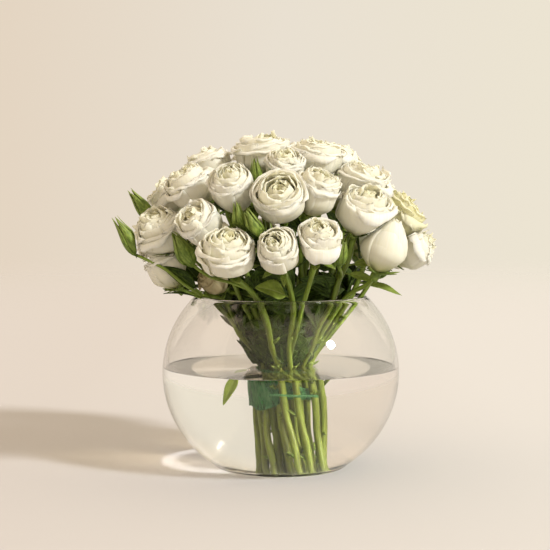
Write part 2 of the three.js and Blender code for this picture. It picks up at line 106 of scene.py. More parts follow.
def add_node(material, kind, inputs=None, **settings):
    """A new node. An input's value is a number, a colour or another node's output."""
    node = material.node_tree.nodes.new("ShaderNode" + kind)
    for name, value in settings.items():
        setattr(node, name, value)
    for name, value in (inputs or {}).items():
        if isinstance(value, bpy.types.NodeSocket):
            material.node_tree.links.new(value, node.inputs[name])
        else:
            node.inputs[name].default_value = value
    return node


def new_material(name):
    """An empty material and its output node."""
    material = bpy.data.materials.new(name)
    material.use_nodes = True
    material.node_tree.nodes.clear()
    return material, add_node(material, "OutputMaterial")


def show(material, output, shader):
    material.node_tree.links.new(shader.outputs[0], output.inputs["Surface"])


print("a screen's middle grey is", round(linear("#808080")[0], 3), "in linear light")

# %% [markdown]
# ## The place map
# Each thin sheet or stem carries a vector on its points, named `place`: x runs across it, y runs from
# its root to its tip, and z is a random number of its own. A material that reads it can draw a vein
# along a leaf, or turn a petal green towards its base, with no image and no unwrapping.

# %% Colours that follow the place map
def ramp(material, factor, stops):
    """A colour ramp whose stops are (position, hex)."""
    node = add_node(material, "ValToRGB", {"Fac": factor})
    while len(node.color_ramp.elements) < len(stops):
        node.color_ramp.elements.new(1.0)
    for element, (position, code) in zip(node.color_ramp.elements, stops):
        element.position = position
        element.color = linear(code)
    return node.outputs["Color"]


def mixed(material, factor, a, b, blend="MIX"):
    """Colour a, covered by colour b as far as the factor says."""
    colours = {0: factor, 6: a, 7: b}  # the numbers of a Mix node's sockets for colours
    return add_node(material, "Mix", colours, data_type="RGBA", blend_type=blend).outputs[2]


def place_map(material):
    return add_node(material, "Attribute", attribute_name="place").outputs["Vector"]


def place_of(material):
    """The outputs X, Y and Z of the place map."""
    return add_node(material, "SeparateXYZ", {"Vector": place_map(material)}).outputs


def grain(material, stretch, scale, detail):
    """Noise on the place map, which is stretched so that the grain follows the sheet."""
    stretched = add_node(
        material, "VectorMath", {0: place_map(material), 1: stretch}, operation="MULTIPLY"
    ).outputs["Vector"]
    noise = {"Vector": stretched, "Scale": scale, "Detail": detail}
    return add_node(material, "TexNoise", noise).outputs["Fac"]


def relief(material, height, strength, depth, sunk=False):
    """A surface raised, or sunk, by up to `depth` millimetres where the height is bright."""
    inputs = {"Height": height, "Strength": strength, "Distance": depth * MM}
    return add_node(material, "Bump", inputs, invert=sunk).outputs["Normal"]


print("the place map runs from 0 at a sheet's root to 1 at its tip")

# %% [markdown]
# ## Rose petals
# A petal is a film of cells a third of a millimetre thick and full of air. About half of the light that
# falls on it comes back, and most of the rest comes out behind, a little warmer, so the folds of a white
# rose glow instead of going grey. A plain white surface would look like paper. So a translucent part is
# mixed in. Cream roses are palest at the rim, and yellow-green where the petal is joined. The youngest
# bloom is greener. The one low at the left, deep in the bouquet, has tan petals: painted shade. Fine
# veins fan out along a petal: they are 0.4 mm apart, too fine to show from here, so they are drawn about
# three times as coarse.

# %% Petal material
PETAL_GLOW = 0.44  # the share of light that comes through a petal


def thin_tissue(material, output, colour, normal, finish, behind, share):
    """Plant tissue: what its surface gives back, and the share of light that comes through it."""
    inputs = {"Base Color": colour, "Normal": normal, **finish}
    surface = add_node(material, "BsdfPrincipled", inputs)
    glow = add_node(material, "BsdfTranslucent", {"Color": behind})
    both = add_node(material, "MixShader", {0: share, 1: surface.outputs[0], 2: glow.outputs[0]})
    show(material, output, both)


def living_petal(name, stops):
    """Petal tissue: colours from root to rim, and a faint yellow tint of painted shade towards the
    flower's heart.
    """
    material, output = new_material(name)
    place = place_of(material)
    colour = ramp(material, place["Y"], stops)
    # Petals nearer the heart are tinted yellower: painted shade, for light that reaches them through the
    # outer petals.
    inner = ramp(material, place["Z"], [(0.1, "#FFFFFF"), (0.8, "#FEFEF6"), (1.0, "#FCFBEA")])
    veins = grain(material, (9.0, 0.8, 31.0), 2.0, 3.0)
    blush = ramp(material, veins, [(0.35, "#FBF9EE"), (0.62, "#FFFFFF")])
    tinted = mixed(material, 1.0, colour, inner, "MULTIPLY")
    veined = mixed(material, 0.5, tinted, blush, "MULTIPLY")
    behind = mixed(material, 1.0, veined, linear("#FFFEF8"), "MULTIPLY")
    finish = {"Roughness": 0.5, "IOR": 1.42, "Specular IOR Level": 0.35}
    normal = relief(material, veins, 0.2, 0.4)
    thin_tissue(material, output, veined, normal, finish, behind, PETAL_GLOW)
    return material


PETAL = living_petal(
    "rose petal, living",
    [(0.0, "#C2CC6C"), (0.16, "#E6E5B0"), (0.38, "#F9F8EA"), (0.7, "#FDFCF6"), (1.0, "#FEFEFC")],
)
YOUNG_PETAL = living_petal(
    "rose petal, just opened", [(0.0, "#CCD684"), (0.3, "#E6E8B4"), (0.6, "#F4F3D2"), (1.0, "#FBFAE8")]
)
# Tan petals for the rose low at the left, deep in the bouquet: painted shade.
SHADE_PAINTED_PETAL = living_petal(
    "rose petal, painted shade", [(0.0, "#B4AA70"), (0.3, "#D4C89A"), (0.6, "#DED3AC"), (1.0, "#D8CAA2")]
)
print("made", PETAL.name, "and", YOUNG_PETAL.name, "and", SHADE_PAINTED_PETAL.name)

# %% [markdown]
# ## Green parts
# A rose's stem has a waxed skin, paler and yellower low down. Sepals and buds are the bright green of
# new growth. Both are living tissue with brownish blotches and a thin waxy shine, so one function makes
# them, and what differs is the colours, the shine, and how much light comes through.

# %% Green materials
GREEN_BEHIND = "#F4FF9C"  # light that has come through a green part is yellower


def living_green(name, stops, blotch, roughness, share):
    """Plant tissue: colours along it, darker blotches, and a thin waxy shine."""
    material, output = new_material(name)
    colour = ramp(material, place_of(material)["Y"], stops)
    noise = grain(material, (1.6, 5.0, 40.0), 1.6, 4.0)
    patches = ramp(material, noise, [(0.32, blotch), (0.66, "#FFFFFF")])
    skin = mixed(material, 0.85, colour, patches, "MULTIPLY")
    behind = mixed(material, 1.0, skin, linear(GREEN_BEHIND), "MULTIPLY")
    normal = relief(material, noise, 0.3, 0.4)
    thin_tissue(material, output, skin, normal, {"Roughness": roughness, "IOR": 1.45}, behind, share)
    return material


STEM_SKIN = living_green(
    "rose stem, waxed skin",
    [(0.0, "#8E9E3E"), (0.35, "#829538"), (0.6, "#758C31"), (1.0, "#849E3A")],
    "#A4945E", 0.42, 0.0,
)
SEPAL = living_green(
    "rose sepal, new growth",
    [(0.0, "#7E983C"), (0.5, "#97AD4C"), (1.0, "#A3B05C")],
    "#7F9560", 0.5, 0.25,
)
print("made", STEM_SKIN.name, "and", SEPAL.name)

# %% [markdown]
# ## Leaves
# A leaf's veins are what tell it from a piece of green paper. The midrib lies where x is 0, and the
# side veins are stripes that run forward from it, six to a side. Both are paler than the blade and lie
# in shallow grooves. A full-grown leaf is dark and half glossy, and darker still with painted shade for
# the crowded fan. A young one is pale and yellow-green, and paler still with painted light for where it
# lies in shade. A picture of a leaf could be laid over each blade, but stripes worked out from the place
# map stay sharp and fit every leaf.

# %% Leaf material
SIDE_VEINS = 6
VEIN_SLANT = -0.16  # how far a side vein runs forward on its way to the edge
LEAF_GLOW = 0.25  # the share of light that comes through a leaf


def living_leaf(name, vein, stops):
    material, output = new_material(name)
    place = place_of(material)
    side = add_node(material, "Math", {0: place["X"]}, operation="ABSOLUTE").outputs[0]
    midrib = ramp(material, side, [(0.02, "#FFFFFF"), (0.09, "#000000")])
    slant = {0: side, 1: VEIN_SLANT, 2: place["Y"]}
    forward = add_node(material, "Math", slant, operation="MULTIPLY_ADD").outputs[0]
    stripes = {0: forward, 1: SIDE_VEINS * 2 * math.pi}
    turns = add_node(material, "Math", stripes, operation="MULTIPLY").outputs[0]
    wave = add_node(material, "Math", {0: turns}, operation="COSINE").outputs[0]
    veins = ramp(material, wave, [(0.88, "#000000"), (1.0, "#A0A0A0")])
    ribs = mixed(material, 1.0, midrib, veins, "LIGHTEN")
    mottle = grain(material, (2.0, 3.0, 50.0), 2.0, 5.0)
    blade = mixed(material, ribs, ramp(material, mottle, stops), linear(vein))
    behind = mixed(material, 1.0, blade, linear(GREEN_BEHIND), "MULTIPLY")
    finish = {"Roughness": 0.5, "IOR": 1.45, "Specular IOR Level": 0.3}
    normal = relief(material, ribs, 0.5, 0.5, sunk=True)
    thin_tissue(material, output, blade, normal, finish, behind, LEAF_GLOW)
    return material


# A leaf's own dark green, made darker still: painted shade for the crowded inside of the fan.
LEAF = living_leaf(
    "rose leaf, half glossy", "#5A6E34", [(0.3, "#222F0E"), (0.55, "#40561A"), (0.75, "#66802B")]
)
# A young leaf's own pale green, made paler still: painted light for young leaves that lie in shade.
YOUNG_LEAF = living_leaf(
    "young rose leaf", "#A3AE63", [(0.3, "#7A8C3A"), (0.55, "#90A344"), (0.75, "#A4B552")]
)
print("made", LEAF.name, "and", YOUNG_LEAF.name)

# %% [markdown]
# ## Blown glass and water
# The bowl is blown soda-lime glass, IOR 1.52, with a fire-polished rim: no grain, no seam. Seen edge on
# it is darker, because there the light has come a long way inside the wall. Where water wets the glass,
# light goes straight from the one to the other, and bends only by the ratio of their two IORs. So the
# wet inside has a material of its own, and the water's own sides, which touch it, bend nothing. If glass
# and water were drawn as two bodies with air between them, the waterline would flash like a mirror.
# Lamps shine through clear glass, so for a lamp's rays each surface is a tinted Transparent shader.

# %% Clear materials
GLASS_IOR = 1.52
WATER_IOR = 1.333
RIPPLE = 0.1  # the roughness of the water's top, which is never quite still
INSIDE_PASSED = "#FBFAF6"  # what passes of lamp light that is already inside


def clear(name, ior, tint, passed, edge_passed, roughness=0.0, edge_tint=None):
    """A smooth, clear surface. Lamp light is dimmed to `passed`, or `edge_passed` where seen edge on."""
    material, output = new_material(name)
    colour = linear(tint)
    if edge_tint:
        grazing = add_node(material, "LayerWeight", {"Blend": 0.5}).outputs["Facing"]
        colour = ramp(material, grazing, [(0.7, tint), (1.0, edge_tint)])
    inputs = {"Base Color": colour, "Roughness": roughness, "IOR": ior, "Transmission Weight": 1.0}
    surface = add_node(material, "BsdfPrincipled", inputs)
    edge = add_node(material, "LayerWeight", {"Blend": 0.35}).outputs["Facing"]
    dimmed = ramp(material, edge, [(0.3, passed), (1.0, edge_passed)])
    inside = add_node(material, "NewGeometry").outputs["Backfacing"]
    lamp_colour = mixed(material, inside, dimmed, linear(INSIDE_PASSED))
    lamp_light = add_node(material, "BsdfTransparent", {"Color": lamp_colour})
    lamp_ray = add_node(material, "LightPath").outputs["Is Shadow Ray"]
    either = {0: lamp_ray, 1: surface.outputs[0], 2: lamp_light.outputs[0]}
    show(material, output, add_node(material, "MixShader", either))
    return material


GLASS = clear(
    "soda-lime glass, blown", GLASS_IOR, "#FEFDFB", "#F4F0E8", "#9C9484", edge_tint="#8E8677"
)
WET_GLASS = clear("soda-lime glass, wet side", GLASS_IOR / WATER_IOR, "#FFFFFF", "#F8F8F8", "#F0F0F0")
WATER = clear("water, still", WATER_IOR, "#FDFCF4", "#F0EEE8", "#E0DCD0")
# The top's tan tint darkens and warms what is seen through the water: painted shade.
WATER_TOP = clear("water, faintly rippled", WATER_IOR, "#D6CDBE", "#F0EEE8", "#E0DCD0", RIPPLE)
WATER_SIDE = clear("water against glass", 1.0, "#FFFFFF", "#8A8070", "#6E6658")
print("made", GLASS.name, "and", WATER.name)

# %% [markdown]
# ## Meshes from sheets and tubes
# Nearly everything here is either a thin sheet (petal, sepal, leaf, tape) or a tapering tube (stem,
# thorn, knot). Solidify and Bevel modifiers could make them from surfaces and curves, but there are
# over a thousand, so plain mesh code is quicker and gives closed solids at once.

# %% Sheets
EDGE_THINNING = 0.7  # of the thickness, right at the edge
EDGE_SHARPNESS = 8  # how close to the edge the thinning starts


def sheet(grid, thickness):
    """A closed solid round a grid of points: two skins that draw together towards its edges."""
    across, along = np.gradient(grid, axis=0), np.gradient(grid, axis=1)
    normal = np.cross(across, along)
    normal /= np.linalg.norm(normal, axis=2, keepdims=True) + 1e-9
    rows, columns = grid.shape[:2]
    u, v = np.meshgrid(np.linspace(-1, 1, rows), np.linspace(-1, 1, columns), indexing="ij")
    near_edge = np.maximum(np.abs(u), np.maximum(v, 0)) ** EDGE_SHARPNESS
    half = (thickness / 2 * (1 - EDGE_THINNING * near_edge))[..., None]
    at = np.arange(rows * columns).reshape(rows, columns)
    front = np.stack([at[:-1, :-1], at[1:, :-1], at[1:, 1:], at[:-1, 1:]], -1).reshape(-1, 4)
    back = front[:, ::-1] + at.size
    edge = np.concatenate([at[0, :], at[1:, -1], at[-1, -2::-1], at[-2:0:-1, 0]])
    after = np.roll(edge, -1)
    rim = np.stack([edge, after, after + at.size, edge + at.size], -1)
    points = np.concatenate([grid + normal * half, grid - normal * half])
    smooth = [True] * (2 * len(front)) + [False] * len(rim)
    return points.reshape(-1, 3), np.concatenate([front, back, rim]).tolist(), smooth


def sheet_places(rows, columns, own):
    """The place map of a sheet: x from -1 to 1 across it, y from 0 to 1 along it."""
    across, along = np.meshgrid(np.linspace(-1, 1, rows), np.linspace(0, 1, columns), indexing="ij")
    one_side = np.stack([across, along, np.full(across.shape, own)], -1).reshape(-1, 3)
    return np.concatenate([one_side, one_side])


print("a sheet of 3 by 4 points becomes a solid with", len(sheet_places(3, 4, 0)), "points")

# %% Tubes
ODD_DIRECTION = (0.37, 0.81, 0.45)  # no stem runs along it


def carried_frames(path):
    """Two crosswise directions at each point of a path, carried along it without twisting."""
    tangent = np.gradient(path, axis=0)
    tangent /= np.linalg.norm(tangent, axis=1, keepdims=True)
    side = np.cross(tangent[0], ODD_DIRECTION)
    sides = []
    for direction in tangent:
        side = side - direction * (side @ direction)
        side = side / np.linalg.norm(side)
        sides.append(side)
    sides = np.array(sides)
    return sides, np.cross(tangent, sides)


def tube(path, radii, sides=9):
    """A closed round tube along a path, with one radius for each of its points."""
    x, y = carried_frames(path)
    turn = np.linspace(0, 2 * math.pi, sides, endpoint=False)
    ring = np.cos(turn)[None, :, None] * x[:, None] + np.sin(turn)[None, :, None] * y[:, None]
    rings = path[:, None] + ring * np.asarray(radii)[:, None, None]
    points = np.concatenate([rings.reshape(-1, 3), path[:1], path[-1:]])
    faces = ring_faces(len(path), sides, len(points) - 2, len(points) - 1)
    return points, faces, [True] * len(faces)


def ring_faces(rings, around, first, last):
    """Faces over rings of points, closed by a point at each end."""
    faces = []
    for i in range(around):
        j = (i + 1) % around
        faces.append((first, j, i))
        for k in range(rings - 1):
            low, high = k * around, (k + 1) * around
            faces.append((low + i, low + j, high + j, high + i))
        faces.append((last, (rings - 1) * around + i, (rings - 1) * around + j))
    return faces


def tube_places(count, sides, start, end, own):
    """The place map of a tube: x round it, y along it."""
    turn = np.abs(np.linspace(-1, 1, sides, endpoint=False))
    along = np.linspace(start, end, count)
    rings = np.stack(np.broadcast_arrays(turn[None, :], along[:, None], own), -1).reshape(-1, 3)
    ends = [[0, start, own], [0, end, own]]
    return np.concatenate([rings, ends])


print("a tube of 5 rings of 9 points has", len(ring_faces(5, 9, 45, 46)), "faces")

# %% [markdown]
# ## Pieces
# A bloom has over twenty petals, and a green spray over a hundred parts. Each is a solid of its own, but
# the real bloom is handled as one thing, so its solids are gathered in one mesh that stands in for one
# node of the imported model.

# %% A piece of many solids
class Piece:
    """Solids of several materials that become one mesh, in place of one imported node."""

    def __init__(self, name, slot, node):
        self.name, self.slot, self.node = name, slot, node
        self.points, self.places, self.count = [], [], 0
        self.faces, self.smooth, self.looks, self.materials = [], [], [], []

    def add(self, solid, places, material):
        points, faces, smooth = solid
        if material not in self.materials:
            self.materials.append(material)
        self.points.append(points)
        self.places.append(places)
        self.faces += [[i + self.count for i in face] for face in faces]
        self.smooth += smooth
        self.looks += [self.materials.index(material)] * len(faces)
        self.count += len(points)

    def build(self):
        mesh = bpy.data.meshes.new(self.name)
        mesh.from_pydata((np.concatenate(self.points) * MM).tolist(), [], self.faces)
        mesh.polygons.foreach_set("material_index", self.looks)
        mesh.polygons.foreach_set("use_smooth", self.smooth)
        place = mesh.attributes.new("place", "FLOAT_VECTOR", "POINT")
        place.data.foreach_set("vector", np.concatenate(self.places).astype(np.float32).ravel())
        for material in self.materials:
            mesh.materials.append(material)
        piece = placed(self.name, mesh)
        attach(piece, "root")
        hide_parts(self.node)
        return piece


print("a piece keeps its solids' points, places, faces and materials until it is built")

# %% [markdown]
# ## Where the flowers are
# The flowers lie on a low dome, and each has a place on it and a facing, both given as an angle round
# the bowl and an angle above the level. A florist builds a dome the same way, turning the bowl and
# placing the next stem where there is room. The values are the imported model's. Some heads and leaves at
# the front and left are moved and turned a little from there, to stand as they do in the real bouquet.

# %% Sprays
def flower(place, face, width, height, opened):
    """A rose. Its place is (round, up, share of the dome's radius), its facing (round, up)."""
    return {"place": place, "face": face, "width": width, "height": height, "open": opened}


def bud(place, face, width, height, *via):
    """A closed bud, and the points its stalk passes on the way, if it has a route of its own."""
    return {"place": place, "face": face, "width": width, "height": height, "open": None, "via": via}


def leaf(start, along, face, length, width):
    """A leaf. It starts at a height on its stem, or at a point, and grows along one heading."""
    return {"from": start, "along": along, "face": face, "length": length, "width": width}


SPRAYS = {
    "front_left_low": [
        flower((-22, 11, 1), (-10, 52), 48, 36, 0.8),
        flower((-57, -5, 0.60), (-50, 34), 23, 27, 0.4),
        bud((-47, 13, 1.0), (-62, 60), 17, 27),
    ],
    "front_low": [
        flower((-1, 12, 1), (-8, 34), 37, 38, 0.4),
        flower((16, 16, 1.02), (8, 50), 37, 36, 0.55),
        leaf(146, (-59, 27), (0, 40), 38, 20),
    ],
    "front_right": [
        flower((44, 30, 0.99), (30, 62), 47, 40, 0.6),
        flower((51, 14, 1), (75, 74), 42, 44, 0.02),
        bud((31, 13, 0.88), (24, 66), 11, 20),
        leaf(172, (80, 14), (0, 20), 36, 9),
        leaf(166, (84, -4), (10, 15), 28, 8),
    ],
    "right_side": [
        flower((86, 26, 1.02), (78, 42), 44, 36, 0.75),
        flower((84, 10, 1.04), (86, 24), 34, 36, 0.45),
        leaf(156, (92, -6), (40, 50), 38, 11),
    ],
    "front_left": [
        flower((-28, 42, 1), (-18, 46), 40, 42, 0.45),
        flower((-39, 24, 1), (-40, 36), 38, 36, 0.6),
        bud((-20, 27, 0.98), (-30, 72), 13, 27),
        bud((-12, 23, 1.02), (-44, 56), 15, 25),
    ],
    "front_middle": [
        flower((-1, 36, 1.01), (-10, 40), 47, 38, 0.7),
        flower((4, 60, 0.97), (5, 58), 34, 32, 0.7),
    ],
    "upper_right": [
        flower((20, 41, 0.98), (40, 60), 40, 38, 0.5),
        flower((44, 66, 0.98), (30, 82), 48, 35, 0.85),
    ],
    "right_shoulder": [
        flower((58, 46, 1), (46, 64), 47, 37, 0.8),
        bud((84, 46, 0.98), (84, 44), 13, 24),
    ],
    "left_low": [
        flower((-68, 19, 1), (-48, 52), 47, 40, 0.6),
        flower((-67, 3, 0.93), (-80, 56), 34, 36, 0.35),
        bud((-72, 14, 1.24), (-80, 56), 15, 32, (-63, -52, 148), (-77, -62, 157), (-93, -60, 171)),
        leaf((-62, -52, 148), (-82, 44), (10, 30), 45, 14),
        leaf((-64, -50, 146), (-78, 18), (0, 86), 32, 9),
        leaf(152, (-60, 50), (20, 10), 42, 15),
        leaf(148, (-84, 14), (0, 84), 38, 11),
    ],
    "left_side": [
        flower((-101, 16, 1.04), (-100, 24), 42, 36, 0.6),
        flower((-94, 35, 1.04), (-90, 42), 42, 34, 0.65),
        bud((-85, 27, 1.21), (-86, 52), 13, 27),
        leaf(150, (-104, 6), (-100, 80), 40, 16),
        leaf((-26, -14, 83), (-62, -52), (-20, 25), 24, 9),
    ],
    "left_shoulder": [
        flower((-92, 57, 1), (-90, 62), 45, 35, 0.75),
        flower((-63, 42, 1.01), (-66, 56), 43, 36, 0.65),
    ],
    "crown": [
        flower((-66, 81, 0.97), (-10, 82), 52, 33, 0.85),
        bud((-17, 52, 1.0), (-10, 66), 12, 24),
    ],
    "back_right_low": [
        flower((110, 12, 1), (108, 24), 44, 37, 0.6),
        flower((109, 36, 1), (110, 42), 45, 36, 0.7),
        leaf(152, (118, 8), (115, 80), 42, 17),
    ],
    "back_right": [
        flower((136, 13, 1), (138, 28), 46, 36, 0.75),
        flower((139, 38, 1), (142, 46), 44, 37, 0.6),
        bud((123, 1, 1.02), (124, 34), 14, 26),
        leaf(150, (150, 14), (150, 80), 40, 16),
    ],
    "back_middle": [
        flower((163, 10, 1), (160, 20), 42, 38, 0.45),
        flower((169, 35, 1), (170, 44), 47, 36, 0.8),
        leaf(150, (176, 4), (175, 80), 42, 18),
    ],
    "back_left_middle": [
        flower((-170, 12, 1), (-172, 30), 45, 37, 0.65),
        flower((-160, 38, 1), (-158, 48), 43, 37, 0.55),
        bud((176, 24, 1.04), (176, 40), 13, 25),
        leaf(148, (-156, 6), (-156, 80), 38, 15),
    ],
    "back_left": [
        flower((-145, 10, 1), (-144, 22), 44, 37, 0.6),
        flower((-128, 35, 1), (-126, 44), 46, 36, 0.75),
        leaf(150, (-132, 10), (-130, 80), 42, 17),
    ],
    "back_left_low": [
        flower((-122, 12, 1.01), (-120, 24), 43, 38, 0.5),
        bud((-110, -1, 1.02), (-108, 30), 14, 26),
    ],
    "back_crown_right": [
        flower((116, 62, 1), (112, 66), 47, 35, 0.8),
        bud((148, 57, 1), (150, 58), 13, 24),
    ],
    "back_crown_left": [flower((-163, 62, 1), (-168, 66), 47, 36, 0.75)],
}
print(len(SPRAYS), "sprays")

# %% [markdown]
# ## Each head's own frame
# A petal is easiest to shape on a flower that faces straight up, by its radius, its angle and its
# height. The head's frame then turns and moves it into the bouquet. Neighbouring roses press on each
# other, so what reaches towards a neighbour is squeezed short of the plane between the two, and their
# petals flatten there instead of running through each other.

# %% Head frames
GAP = 0.3  # between two things that nearly touch
DOME_CENTRE = np.array([0, 0, 165.0])
DOME_RADIUS = np.array([109, 109, 103.0])
NEIGHBOUR_REACH = 16  # heads further apart than this don't press on each other
FREE_SHARE = 0.5  # of the way to a neighbour, where petals aren't squeezed yet
GOLDEN_ANGLE = math.pi * (3 - math.sqrt(5))  # each head is turned by this much more than the last


def heading(turn, rise):
    """A direction, from degrees round the bowl (0 is the front) and degrees above the level."""
    t, r = math.radians(turn), math.radians(rise)
    return np.array([math.sin(t) * math.cos(r), -math.cos(t) * math.cos(r), math.sin(r)])


def unit(vector):
    return vector / np.linalg.norm(vector)


class Head:
    """A flower or bud: `base` is where its green cup ends, `axis` the way it faces."""

    def __init__(self, values, index):
        turn, rise, out = values["place"]
        self.axis = heading(*values["face"])
        self.centre = heading(turn, rise) * out * DOME_RADIUS + DOME_CENTRE
        start = unit(np.cross((0, 1, 0), self.axis))
        spin = index * GOLDEN_ANGLE
        self.side = start * math.cos(spin) + np.cross(self.axis, start) * math.sin(spin)
        self.across = np.cross(self.axis, self.side)
        self.width, self.height, self.open = values["width"], values["height"], values["open"]
        self.radius = self.width / 2
        self.base = self.centre - self.axis * self.height / 2
        self.via = [np.array(point) for point in values.get("via", ())]
        self.walls = []

    def meet(self, other):
        """Puts a wall between this head and a neighbour it presses on."""
        apart = np.linalg.norm(other.centre - self.centre)
        if apart > self.radius + other.radius + NEIGHBOUR_REACH:
            return
        limit = (apart**2 + self.radius**2 - other.radius**2) / (2 * apart) - GAP
        self.walls.append(((other.centre - self.centre) / apart, limit))

    def squeeze(self, points):
        """Eases points back that reach towards a wall."""
        for normal, limit in self.walls:
            reach = (points - self.centre) @ normal
            free = FREE_SHARE * limit
            held = free + (limit - free) * np.tanh((reach - free) / (limit - free))
            points = points + np.where(reach > free, held - reach, 0)[..., None] * normal
        return points

    def at(self, r, a, z, drift=(0, 0)):
        """Points of the head's own frame: radius r, angle a, height z above its base."""
        x = (r * np.cos(a) + drift[0])[..., None]
        y = (r * np.sin(a) + drift[1])[..., None]
        z = np.asarray(z)[..., None]
        return self.squeeze(self.base + self.side * x + self.across * y + self.axis * z)


class Spray:
    """One cut stem with its flowers, buds and leaves."""

    def __init__(self, name):
        self.name = name
        self.flowers, self.buds, self.leaves = [], [], []


sprays = []
heads = []


def new_head(part):
    heads.append(Head(part, len(heads)))
    return heads[-1]


for name, parts in SPRAYS.items():
    spray = Spray(name)
    spray.leaves = [part for part in parts if "from" in part]
    placed_parts = [part for part in parts if "place" in part]
    spray.flowers = [new_head(part) for part in placed_parts if part["open"] is not None]
    spray.buds = [new_head(part) for part in placed_parts if part["open"] is None]
    sprays.append(spray)
for head in heads:
    for other in heads:
        if other is not head:
            head.meet(other)
print(len(heads), "flowers and buds,", sum(len(h.walls) for h in heads), "walls between them")

# %% [markdown]
# ## A rose from its petals
# A garden-shaped spray rose has twenty to thirty petals. The outer ones are cups with rolled rims, the
# next layers stand more upright and crinkle, and the heart is a scroll wound on itself. Each petal here
# is a sheet bent along a smooth profile: up from the cup, out to the belly, in at the neck and over at
# the lip. Subdividing a cage would be the usual way, but a formula lets every bloom open by its own
# amount. The rim is an arc, because a petal is longest in its middle.

# %% Petal profiles
PETAL_THICKNESS = 0.6
PETAL_ROWS = 13
PETAL_COLUMNS = 15


def lerp(a, b, t):
    return a + (b - a) * t


def bezier(controls, t):
    """Points of a Bezier curve of any degree."""
    n = len(controls) - 1
    t = np.asarray(t)[..., None]
    terms = (
        math.comb(n, i) * (1 - t) ** (n - i) * t**i * np.array(p) for i, p in enumerate(controls)
    )
    return sum(terms)


def through(points, t):
    """Points of a smooth line that passes through the given ones, for t from 0 to 1."""
    p = np.array([2 * np.array(points[0]) - points[1], *points, 2 * np.array(points[-1]) - points[-2]])
    s = np.asarray(t) * (len(points) - 1)
    i = np.minimum(s.astype(int), len(points) - 2)
    f = (s - i)[..., None]
    a, b, c, d = p[i], p[i + 1], p[i + 2], p[i + 3]
    return b + f * ((c - a) + f * ((2 * a - 5 * b + 4 * c - d) + f * (3 * b - a - 3 * c + d))) / 2


print("a petal is a sheet of", PETAL_ROWS, "by", PETAL_COLUMNS, "points")

# %% [markdown]
# ## Six layers
# All sizes are shares of the flower's radius and height, so one list serves every bloom. Most are a
# pair, for a rose just opening and for one that is full open. A petal's rim waves slowly, and fine crimps
# run over the waves. No petal sits square: each leans, twists and tilts by its own chance.

# %% Layers of petals
def layer(count, wrap, belly, neck, lip, top, curl, ruffle):
    """One layer. Each petal wraps that many radians to either side of its middle."""
    shape = {"wrap": wrap, "belly": belly, "neck": neck, "lip": lip, "top": top}
    return {"n": count, "curl": curl, "ruffle": ruffle, **shape}


LAYERS = [
    layer(4, 0.95, 0.97, (0.78, 0.97), (0.50, 1.12), (0.92, 0.72), (0.02, 0.14), 0.030),
    layer(4, 0.98, 0.94, (0.74, 0.94), (0.36, 0.99), (0.97, 0.82), (0.00, 0.10), 0.045),
    layer(4, 1.02, 0.87, (0.64, 0.83), (0.26, 0.77), (0.985, 0.92), (0.00, 0.08), 0.060),
    layer(4, 0.98, 0.76, (0.52, 0.70), (0.18, 0.59), (0.99, 0.97), (0.00, 0.06), 0.070),
    layer(3, 1.20, 0.62, (0.38, 0.56), (0.11, 0.43), (0.995, 1.0), (0.00, 0.04), 0.075),
    layer(3, 1.20, 0.45, (0.24, 0.40), (0.06, 0.27), (1.00, 1.01), (0.00, 0.03), 0.065),
]
CRIMPS = 3.4  # half waves from a petal's middle to its side
CRIMP_DEPTH = 0.027
RIM_ARC = 0.15  # how much shorter a petal is at its sides
OVERLAP = 0.04  # one side of a petal lies over its neighbour
DRIFT = 0.17  # how far a rose's heart lies off its middle, as a share of its radius
SHOWN_WIDTH = 0.95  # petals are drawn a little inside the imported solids, so greens show between them
SHOWN_HEIGHT = 0.94


def petal_grid(head, parts, angle, depth, draw):
    """One petal as a grid of points, root to rim along its columns."""
    u, v = np.meshgrid(np.linspace(-1, 1, PETAL_ROWS), np.linspace(0, 1, PETAL_COLUMNS), indexing="ij")
    opened = math.sqrt(head.open)
    neck, lip, top, curl = [lerp(*parts[key], opened) for key in ("neck", "lip", "top", "curl")]
    lip = lip + draw["lean"]
    top = top * draw["tall"]
    curl = curl * draw["curl"]
    belly = parts["belly"]
    underside = [(0.12, 0.0), (0.40 * belly, 0.05), (0.72 * belly, 0.20), (0.98 * belly, 0.47 * top)]
    upper = [(neck, 0.84 * top), (lip, top), (lip + curl, top - 0.9 * curl)]
    profile = through(underside + upper, v * (1 - RIM_ARC * np.abs(u) ** 2.8))
    r, z = profile[..., 0], profile[..., 1]
    rim = v**5
    r = r * (1 + OVERLAP * u) + draw["flare"] * np.abs(u) ** 3 * v**3
    r = r + parts["ruffle"] * rim * np.sin(draw["waves"] * math.pi * u + draw["phase"])
    z = z + 0.6 * parts["ruffle"] * rim * np.cos(1.8 * draw["waves"] * u + draw["phase"])
    crimps = CRIMPS + 0.25 * draw["phase"]
    r = r + CRIMP_DEPTH * v**7 * np.sin(crimps * math.pi * u + draw["phase"])
    z = z + CRIMP_DEPTH * v**7 * np.cos(0.8 * crimps * math.pi * u + draw["phase"])
    z = z + draw["point"] * np.exp(-((u / 0.3) ** 2)) * v**6 + draw["tilt"] * u * v**3
    spread = 0.55 + 0.50 * np.sin(math.pi * np.minimum(v, 0.7) / 1.4)
    a = angle + draw["twist"] * v + parts["wrap"] * draw["broad"] * u * spread
    drift = [d * depth * head.radius * v for d in head.drift]
    return head.at(r * head.radius * SHOWN_WIDTH, a, z * head.height * SHOWN_HEIGHT, drift)


print("a rose has", sum(parts["n"] for parts in LAYERS), "petals round its heart")

# %% The heart of a rose
HEART_TURNS = 2.2
HEART_ROWS = 36
HEART_COLUMNS = 7
HEART_SIZE = (0.06, 0.22)  # its radius, for a rose just opening and for one that is full open


